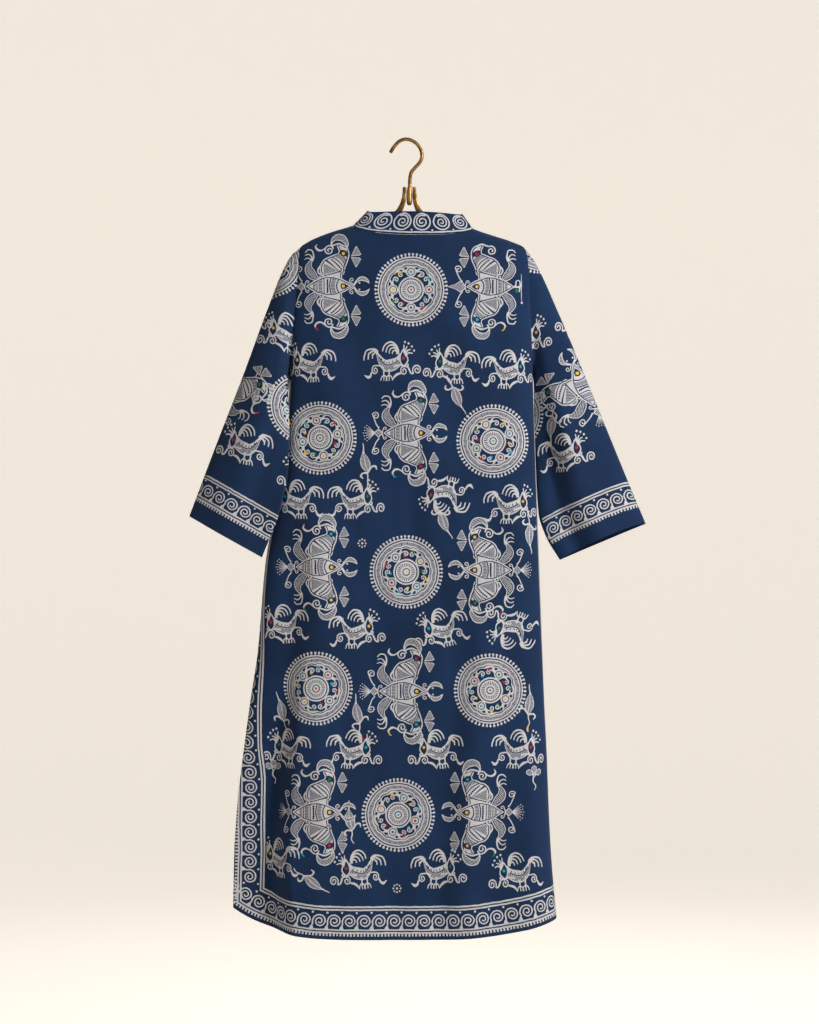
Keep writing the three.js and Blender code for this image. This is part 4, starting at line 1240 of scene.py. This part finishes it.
def wax_print_group():
    """Printed indigo: the dyed ground wanders a little, the white is worn, and hatching is thin strokes.

    Hatch is a plane over the cloth, whose distance from a whole number says where a thread of white ends.
    """
    colour, number, vector = "NodeSocketColor", "NodeSocketFloat", "NodeSocketVector"
    group, start, end = new_group("wax_print", [
        ("Place", vector, None), ("Ground", colour, (0.01, 0.03, 0.1, 1)), ("Ink", colour, (1, 1, 1, 1)),
        ("Printed", number, 0.0), ("Hatch", number, 0.0), ("Hatched", number, 0.0), ("Wear", number, 0.5)],
        [("Colour", colour), ("Printed", number)])
    w = Wires(group)
    place = start.outputs["Place"]
    large = w.noise(place, 9.0, 3.0, 0.55)
    fine = w.noise(place, 420.0, 2.0, 0.6)
    shade = w.ramp(large, 0.3, 0.7, 0.86, 1.16)
    speck = w.ramp(fine, 0.3, 0.7, 0.88, 1.12)
    shade = w.math("MULTIPLY", shade, speck)
    grey = w.node("ShaderNodeCombineColor", None, i0=shade, i1=shade, i2=shade).outputs[0]
    ground = w.mix(1.0, start.outputs["Ground"], grey, "MULTIPLY")
    wave = w.math("PINGPONG", start.outputs["Hatch"], 0.5)
    uneven = w.math("MULTIPLY", w.math("SUBTRACT", w.noise(place, 300.0, 2.0), 0.5), 0.3)
    thread = w.ramp(w.math("ADD", wave, uneven), 0.1, 0.24, 1.0, 0.1)
    bare = w.math("SUBTRACT", 1.0, thread)
    line = w.math("SUBTRACT", 1.0, w.math("MULTIPLY", start.outputs["Hatched"], bare))
    worn = w.ramp(w.noise(place, 150.0, 3.0, 0.7), 0.28, 0.62, 0.72, 1.0)
    unworn = w.math("SUBTRACT", 1.0, start.outputs["Wear"])
    worn = w.math("ADD", w.math("MULTIPLY", worn, start.outputs["Wear"]), unworn)
    cover = w.math("MULTIPLY", w.math("MULTIPLY", start.outputs["Printed"], line), worn, True)
    result = w.mix(cover, ground, start.outputs["Ink"])
    group.links.new(result, end.inputs["Colour"])
    group.links.new(cover, end.inputs["Printed"])
    return group


def weave_group():
    """Plain weave: two crossed sets of rounded threads, as a height for bump, with slubs."""
    vector, number = "NodeSocketVector", "NodeSocketFloat"
    group, start, end = new_group("weave", [("Place", vector, None), ("Threads per metre", number, 1100.0)],
                                  [("Height", number)])
    w = Wires(group)
    split = w.node("ShaderNodeSeparateXYZ", None, i0=start.outputs["Place"])
    heights = []
    for k in range(2):
        turns = w.math("MULTIPLY", split.outputs[k], start.outputs["Threads per metre"])
        heights.append(w.math("ABSOLUTE", w.math("SINE", w.math("MULTIPLY", turns, math.pi))))
    over = w.math("MAXIMUM", heights[0], heights[1])
    slub = w.noise(start.outputs["Place"], 60.0, 4.0, 0.65)
    height = w.math("ADD", w.math("MULTIPLY", over, 0.5), w.math("MULTIPLY", slub, 1.4))
    group.links.new(height, end.inputs["Height"])
    return group


WAX_PRINT = wax_print_group()
WEAVE = weave_group()
INDIGO_DYE = (*srgb(14, 43, 80), 1)


def empty_material(name):
    """A material with no nodes yet, and the wires to add them with."""
    material = bpy.data.materials.new(name)
    material.use_nodes = True
    material.node_tree.nodes.clear()
    return material, Wires(material.node_tree)


def cotton_material(name, wear=0.5):
    """Printed cotton: ink and hatching from the cloth's own attributes, with a faint sheen."""
    material, w = empty_material(name)
    place = w.node("ShaderNodeUVMap", {"uv_map": "cloth"}).outputs[0]
    ink = w.node("ShaderNodeAttribute", {"attribute_name": "print"})
    hatch = w.node("ShaderNodeAttribute", {"attribute_name": "hatch"})
    split = w.node("ShaderNodeSeparateXYZ", None, i0=hatch.outputs["Vector"])
    printed = w.node("ShaderNodeGroup", {"node_tree": WAX_PRINT}, Place=place, Ground=INDIGO_DYE,
                     Ink=ink.outputs["Color"], Printed=ink.outputs["Alpha"], Hatch=split.outputs[0],
                     Hatched=split.outputs[1], Wear=wear)
    weave = w.node("ShaderNodeGroup", {"node_tree": WEAVE}, Place=place)
    bump = w.node("ShaderNodeBump", None, Strength=0.35, Distance=0.00035, Height=weave.outputs[0])
    rough = w.ramp(printed.outputs["Printed"], 0.0, 1.0, 0.86, 0.78)
    shader = w.node("ShaderNodeBsdfPrincipled", None, Base_Color=printed.outputs["Colour"], Roughness=rough,
                    Normal=bump.outputs[0], Sheen_Weight=0.12, Sheen_Roughness=0.5,
                    Sheen_Tint=(0.6, 0.72, 1.0, 1), Specular_IOR_Level=0.25)
    w.node("ShaderNodeOutputMaterial", None, Surface=shader.outputs[0])
    return material


def brass_material(name, base, dark, rough=0.34):
    """Aged brass: a tarnish that gathers in clouds, fine scratches in the roughness."""
    material, w = empty_material(name)
    place = w.node("ShaderNodeTexCoord").outputs["Object"]
    cloud = w.ramp(w.noise(place, 60.0, 5.0, 0.6), 0.38, 0.66)
    grain = w.noise(place, 900.0, 3.0, 0.6)
    colour = w.mix(cloud, (*dark, 1), (*base, 1))
    roughness = w.math("ADD", w.ramp(cloud, 0, 1, rough + 0.16, rough), w.ramp(grain, 0.3, 0.7, -0.04, 0.06))
    bump = w.node("ShaderNodeBump", None, Strength=0.25, Distance=0.0003, Height=grain)
    shader = w.node("ShaderNodeBsdfPrincipled", None, Base_Color=colour, Metallic=1.0, Roughness=roughness,
                    Normal=bump.outputs[0])
    w.node("ShaderNodeOutputMaterial", None, Surface=shader.outputs[0])
    return material


COTTON = cotton_material("indigo_cotton_wax_print")
BRASS = brass_material("aged_brass", srgb(196, 158, 98), srgb(112, 82, 46))


# ---- The hanger ----
BAR_SIDES = 28


def tube_faces(rows, around, inward=False):
    """The quads between rings of points that lie one after another, facing out or in."""
    i, j = np.meshgrid(np.arange(rows - 1), np.arange(around), indexing="ij")
    k = (j + 1) % around
    corners = [i * around + j, i * around + k, (i + 1) * around + k, (i + 1) * around + j]
    if inward:
        corners = [corners[0], corners[3], corners[2], corners[1]]
    return np.stack(corners, axis=-1).reshape(-1, 4).tolist()


def swept(name, node, line, thick, corners, blunt):
    """A bar along a line (x, z, half width) with a section of four soft corners, closed at both ends.

    corners is the power of the section's round; 1 gives an ellipse. blunt says how long each end rounds off.
    """
    run = np.gradient(line[:, :2], axis=0)
    run /= np.linalg.norm(run, axis=1, keepdims=True)
    angles = np.radians(np.linspace(90, 0, 9))[:-1]
    first, last = line[0], line[-1]
    rows = [(first + (*(-run[0] * blunt[0] * math.sin(a)), 0), run[0], math.cos(a)) for a in angles]
    rows += [(point, way, 1.0) for point, way in zip(line, run)]
    rows += [(last + (*(run[-1] * blunt[1] * math.sin(a)), 0), run[-1], math.cos(a)) for a in angles[::-1]]
    places, ways, sizes = (np.array(column) for column in zip(*rows))
    turns = np.arange(BAR_SIDES) * TURN / BAR_SIDES
    wide = np.sign(np.cos(turns)) * np.abs(np.cos(turns)) ** corners
    deep = np.sign(np.sin(turns)) * np.abs(np.sin(turns)) ** corners
    sizes = np.maximum(sizes, 1e-3)[:, None]
    out = places[:, 2:] * sizes * wide
    points = np.stack([places[:, :1] - ways[:, 1:] * out, thick * sizes * deep,
                       places[:, 1:2] + ways[:, :1] * out], axis=-1)
    start_cap = np.arange(BAR_SIDES)
    end_cap = start_cap + (len(places) - 1) * BAR_SIDES
    faces = [start_cap[::-1].tolist()] + tube_faces(len(places), BAR_SIDES) + [end_cap.tolist()]
    mesh = bpy.data.meshes.new(name)
    mesh.from_pydata((points.reshape(-1, 3) * MM).tolist(), [], faces)
    tool = bmesh.new()
    tool.from_mesh(mesh)
    bmesh.ops.recalc_face_normals(tool, faces=tool.faces)
    tool.to_mesh(mesh)
    tool.free()
    mesh.polygons.foreach_set("use_smooth", np.ones(len(mesh.polygons), dtype=bool))
    bar = bpy.data.objects.new(name, mesh)
    bpy.context.scene.collection.objects.link(bar)
    mesh.materials.append(BRASS)
    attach(bar, "root")
    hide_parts(node)


WIRE = 3.0   # half the thickness of the hook's wire
HOOK = [(-23, -17), (-17, -8), (-9.5, -0.5), (0, 3), (10, 1.5), (19.5, -4.5), (26, -14), (28, -25),
        (24.5, -35), (17, -43.5), (10.8, -51), (8.4, -60), (7.6, -75.6)]
PEG = [(7.3, -76, 3.5), (7.2, -84, 4.1), (7.2, -93, 4.55), (7.2, -102, 4.3)]
LEFT_ARM = [(-0.7, -76, 6), (-1.4, -92, 7.4), (-5, -106, 8.6), (-13, -119, 10), (-32, -133, 11),
            (-60, -144, 9)]
RIGHT_ARM = [(15.1, -76, 6), (15.8, -92, 7.4), (19, -106, 8.6), (26, -119, 10), (46, -134, 11),
             (82, -147.5, 9)]
UNDER_SEAM = 7.8   # from the shoulder's seam down to the middle of an arm


def arm_line(points, hand, low, high):
    """An arm's line: through its points, then along the shoulder's seam, just under it."""
    side = "left" if hand < 0 else "right"
    z = np.linspace(low, high, 7)
    run = np.stack([along(BODY, "z", side, z - 1) - along(BODY, "z", side, z + 1), np.full(7, -2.0)], axis=1)
    run /= np.linalg.norm(run, axis=1, keepdims=True)
    under = np.stack([run[:, 1] * hand, -run[:, 0] * hand], axis=1) * UNDER_SEAM
    shoulder = np.column_stack([along(BODY, "z", side, z) + under[:, 0], z + under[:, 1], np.full(7, 9.0)])
    return curve(points + [tuple(p) for p in shoulder], 6) * (1, 1, 0.5)


def make_hanger():
    """A wire hook in a peg, and two flat arms that run out under the shoulders."""
    swept("hook_of_wire", "hanger_hook", curve([(x, z, WIRE) for x, z in HOOK], 8), WIRE, 1.0, (WIRE, 0.3))
    swept("peg_of_the_hook", "hanger_ferrule", curve(PEG, 6), 4.4, 1.0, (0.4, 4.2))
    swept("arm_left", "hanger_arm_left", arm_line(LEFT_ARM, -1, -147, -170), 3.0, 0.62, (0.5, 4.0))
    swept("arm_right", "hanger_arm_right", arm_line(RIGHT_ARM, 1, -152, -172), 3.0, 0.62, (0.5, 4.0))


# ---- The pieces of the jacket ----
FRONT_PRINT_FROM = 60    # no motif of a front stands nearer to the middle than this
SLEEVE_SEAM = 0.9996     # how near a sleeve's two seam edges come to its inner edge
CUFF_MARGIN = (27.0,)
CUFF_BORDER = 0.92       # the size of the border at the cuffs


def side_edge(chart, across, start, stop, step=8.0):
    """A side edge of the body on its chart, from one height to another."""
    z = np.linspace(start, stop, int(abs(stop - start) / step) + 2)
    return chart.flat(np.full(len(z), float(across)), z)


def finish_piece(made, node):
    """Dresses a piece of cloth in cotton, attaches it to the root body and hides the solid it stands for."""
    piece, area, size = made
    piece.data.materials.append(COTTON)
    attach(piece, "root")
    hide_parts(node)


def panel_points(chart, side, target, columns, above, below):
    """A grid of chart points inside a panel; columns are places across its top edge, and their shares."""
    places, shares = columns
    out = []
    for down in np.concatenate([np.linspace(0.03, 1, above), np.linspace(1, 1.997, below)[1:]]):
        across, z = body_place(places, down, side, lambda height: target(height, shares))
        out.append(chart.flat(across, z))
    return np.vstack(out)


def make_back():
    """The back, with its border along the hem and, turned partly under, along both sides."""
    chart = BodyChart(-1)
    place = np.sin(np.linspace(-math.pi / 2, math.pi / 2, 221))
    hem = chart.flat(place, hem_height(place, -1))
    top = chart.flat(*top_edge(place, -1))
    left = side_edge(chart, -1, SHOULDER["left"], hem[0, 1])
    right = side_edge(chart, 1, SHOULDER["right"], hem[-1, 1])
    outline = np.vstack([left[:-1], hem[:-1], right[::-1][:-1], top[::-1][:-1]])
    shapes = field(BODY_PRINT, lambda x, z: chart.flat(across_at(x, z), z))
    low_left = side_edge(chart, -1, UNDERARM - 4, hem[0, 1])
    low_left[:, 0] -= along(LEFT_TURNED, "z", "under", low_left[:, 1])
    low_right = side_edge(chart, 1, UNDERARM - 4, hem[-1, 1])[::-1]
    low_right[:, 0] += along(RIGHT_TURNED, "z", "under", low_right[:, 1])
    shapes += border([low_left, lengthened(hem, 70), low_right], BORDER_MARGINS)
    places = np.sin(np.linspace(-math.pi / 2, math.pi / 2, 74)[1:-1])
    places = np.sort(np.concatenate([places, np.linspace(-0.82, -0.57, 12)]))
    fine = panel_points(chart, -1, lambda z, share: share, (places,) * 2, 34, 104)
    coarse = panel_points(chart, -1, lambda z, share: share, (places,) * 2, 22, 50)
    finish_piece(cloth("cloth_back", chart, outline, fine, shapes, coarse), "back")


def make_front(hand):
    """One front, with its border down the opening, along the hem and up the side."""
    chart = BodyChart(1)
    neck_start = NECK_SHARE * 2 * math.asin(FRONT_GAP["top"] / 2 / NECK["half"]) / math.pi

    def target(z, share):
        return mix(open_edge(hand, z), hand, share)

    def columns(count):
        share = np.sin(np.linspace(0, math.pi / 2, count))
        return hand * mix(neck_start, 1, share), share

    places, shares = columns(120)
    top = chart.flat(*top_edge(places, 1))
    hem_z = hem_height(places, 1)
    hem = chart.flat(target(hem_z, shares), hem_z)
    side = side_edge(chart, hand, SHOULDER["left" if hand < 0 else "right"], hem[-1, 1])
    low_side = side_edge(chart, hand, UNDERARM - 4, hem[-1, 1])
    top_across, top_z = top_edge(places[:1], 1)
    down = np.linspace(0, 1, 60)
    z = np.concatenate([to_underarm(top_z, down), np.linspace(UNDERARM, hem_z[0], 140)[1:]])
    bend = np.concatenate([1 - (1 - down) ** 2, np.ones(139)])
    opening = chart.flat(mix(top_across, open_edge(hand, z), bend), z)
    if hand < 0:
        outline = np.vstack([opening[:-1], hem[:-1], side[::-1][:-1], top[::-1][:-1]])
        edges = [opening, hem, low_side[::-1]]
    else:
        outline = np.vstack([side[:-1], hem[::-1][:-1], opening[::-1][:-1], top[:-1]])
        edges = [low_side, hem[::-1], opening[::-1]]
    near = {kind: [row for row in rows if hand * row[0] > FRONT_PRINT_FROM]
            for kind, rows in BODY_PRINT.items() if kind != "petals"}
    shapes = field(near, lambda x, z: chart.flat(across_at(x, z), z)) + border(edges, BORDER_MARGINS)
    fine = panel_points(chart, 1, target, tuple(c[1:-1] for c in columns(42)), 32, 100)
    coarse = panel_points(chart, 1, target, tuple(c[1:-1] for c in columns(34)), 20, 50)
    node = "front_left" if hand < 0 else "front_right"
    finish_piece(cloth("cloth_" + node, chart, outline, fine, shapes, coarse), node)


def make_sleeve(rows, creases, hand, lift, layout):
    """A sleeve, open at the cuff, with its border round the cuff and a few motifs on the far layer."""
    chart = SleeveChart(rows, creases, hand, lift)
    q = np.sin(np.linspace(-math.pi / 2, math.pi / 2, 161)) * SLEEVE_SEAM
    q = np.where(np.abs(q) < 1e-9, 0, q)
    s = np.linspace(0, 1, 101)
    armhole, cuff = chart.flat(np.zeros(len(q)), q), chart.flat(np.ones(len(q)), q)
    near_edge, far_edge = chart.flat(s, np.full(101, SLEEVE_SEAM)), chart.flat(s, np.full(101, -SLEEVE_SEAM))
    outline = np.vstack([armhole[::-1][:-1], far_edge[:-1], cuff[:-1], near_edge[::-1][:-1]])
    if hand > 0:
        outline, cuff = outline[::-1], cuff[::-1]

    def over(share, reach):
        """A place on the far layer: a share of the way down, and a reach in from the outer edge."""
        at = np.array([share])
        outer, inner = chart.edges(at)
        return (outer + unit(chart.turned_over(at, inner - outer)) * reach)[0]

    far_side = {"medallions": [over(0.4, 112)],
                "birds": [(*over(0.24, 62), 0, hand < 0), (*over(0.77, 66), hand * -12, hand > 0)],
                "leaves": [(*over(0.5, 40), hand * 20, hand > 0)], "flowers": [over(0.64, 30)]}
    shapes = field(layout) + field(far_side) + border([cuff], CUFF_MARGIN, CUFF_BORDER)

    def grid(stations, turns):
        share = (1 - np.cos(np.linspace(0, math.pi, turns))) / 2
        share = share[(share > 0.002) & (share < 0.998)]
        across = np.concatenate([-share[::-1], [0], share])
        rings = np.linspace(0, 1, stations)[1:-1]
        return np.vstack([chart.flat(np.full(len(across), at), across) for at in rings])

    node = "sleeve_left" if hand < 0 else "sleeve_right"
    finish_piece(cloth("cloth_" + node, chart, outline, grid(64, 26), shapes, grid(50, 22)), node)


def make_collar():
    """The stand collar: a row of ringed coils, turned to and fro, over a line along its foot."""
    end = 1 - 0.5 * (2 * math.asin(FRONT_GAP["top"] / 2 / NECK["half"]) / math.pi)
    chart = CollarChart(end)
    around = np.linspace(-end, end, 301)
    foot, top = chart.flat(around, np.zeros(301)), chart.flat(around, np.ones(301))
    up = np.linspace(0, 1, 9)
    right, left = chart.flat(np.full(9, end), up), chart.flat(np.full(9, -end), up)
    outline = np.vstack([foot[:-1], right[:-1], top[::-1][:-1], left[::-1][:-1]])
    line = chart.flat(around[2:-2], np.full(297, 0.1))
    shapes = [stroke(np.column_stack([line, np.full(297, 1.15)]))]
    count = int((foot[-1, 0] - foot[0, 0]) / 30.2)
    for k in range(count):
        u = mix(foot[0, 0], foot[-1, 0], (k + 0.5) / count)
        height = np.interp(u, chart.run, chart.height)
        size = height / COLLAR["back_rise"]
        ring = [disc(0, 0, 15.0), disc(0, 0, 12.7, INDIGO), coil(0, 0, 11.6, 1.75, 120, -1, 1.5)]
        shapes += placed(ring, u, height * 0.555, 0, size, k % 2 == 1)
        if k:
            between = mix(foot[0, 0], foot[-1, 0], k / count)
            shapes.append(disc(between, height * 0.2, 1.7 * size, WHITE, 7))

    def grid(columns, rows):
        across = np.linspace(-end, end, columns + 1)[1:-1]
        return np.vstack([chart.flat(across, np.full(len(across), k / rows)) for k in range(1, rows)])

    finish_piece(cloth("cloth_collar", chart, outline, grid(160, 8), shapes, grid(80, 4)), "collar")


make_hanger()
make_back()
make_front(-1)
make_front(1)
make_sleeve(LEFT_SLEEVE, LEFT_CREASES, -1, 0, LEFT_PRINT)
make_sleeve(RIGHT_SLEEVE, RIGHT_CREASES, 1, RIGHT_CUFF_LIFT, RIGHT_PRINT)
make_collar()


# ---- The stage ----
ROOM_SIDES = 96


def paper_material():
    """Pale paper that the camera sees a little brighter than its light makes it."""
    material, w = empty_material("pale_paper")
    seen = w.node("ShaderNodeLightPath").outputs["Is Camera Ray"]
    shader = w.node("ShaderNodeBsdfPrincipled", None, Base_Color=(*srgb(238, 231, 222), 1), Roughness=0.9,
                    Emission_Color=(1.0, 0.955, 0.875, 1), Emission_Strength=w.math("MULTIPLY", seen, 0.54))
    w.node("ShaderNodeOutputMaterial", None, Surface=shader.outputs[0])
    return material


def make_stage():
    """A pale floor that curves up into a round wall, as one surface of revolution, seen from inside."""
    r, f, low = ROOM["radius"], ROOM["fillet"], ROOM["floor"]
    a = np.linspace(0, math.pi / 2, 25)
    bend = np.stack([r - f + f * np.sin(a), low + f - f * np.cos(a)], axis=1)
    profile = np.vstack([[[r * 0.3, low]], bend, [[r, ROOM["height"]]]])
    turns = np.arange(ROOM_SIDES) * TURN / ROOM_SIDES
    out, up = profile[:, None, 0], profile[:, None, 1]
    points = np.stack([out * np.cos(turns), out * np.sin(turns), up + 0 * turns], axis=-1).reshape(-1, 3)
    faces = [list(range(ROOM_SIDES))] + tube_faces(len(profile), ROOM_SIDES, inward=True)
    mesh = bpy.data.meshes.new("room")
    mesh.from_pydata((points * MM).tolist(), [], faces)
    mesh.polygons.foreach_set("use_smooth", np.ones(len(faces), dtype=bool))
    mesh.update()
    room = bpy.data.objects.new("room", mesh)
    bpy.context.scene.collection.objects.link(room)
    mesh.materials.append(paper_material())


def make_light(name, at, aim, size, power, colour):
    """A round area light that faces its aim, in metres and watts."""
    data = bpy.data.lights.new(name, "AREA")
    data.shape = "DISK"
    data.size = size
    data.energy = power
    data.color = colour
    light = bpy.data.objects.new(name, data)
    bpy.context.scene.collection.objects.link(light)
    light.location = at
    light.rotation_euler = (Vector(aim) - Vector(at)).to_track_quat("-Z", "Y").to_euler()


def make_lights():
    """A faint even room light, a key at the right, a weak fill and a light from behind."""
    world = bpy.data.worlds.new("room_light")
    world.use_nodes = True
    background = world.node_tree.nodes["Background"]
    background.inputs["Color"].default_value = (1.0, 0.97, 0.93, 1)
    background.inputs["Strength"].default_value = 0.2
    bpy.context.scene.world = world
    make_light("key", (2.7, -2.2, 1.0), (0, 0, -0.6), 0.8, 124, (1.0, 0.985, 0.965))
    make_light("fill", (-1.6, -4.2, 0.4), (0, 0, -0.7), 2.4, 8, (0.9, 0.95, 1.0))
    make_light("back", (0.5, 3.2, 1.2), (0, 0, -0.6), 2.0, 50, (1.0, 0.98, 0.95))


make_stage()
make_lights()
bpy.context.scene.view_settings.view_transform = "Standard"
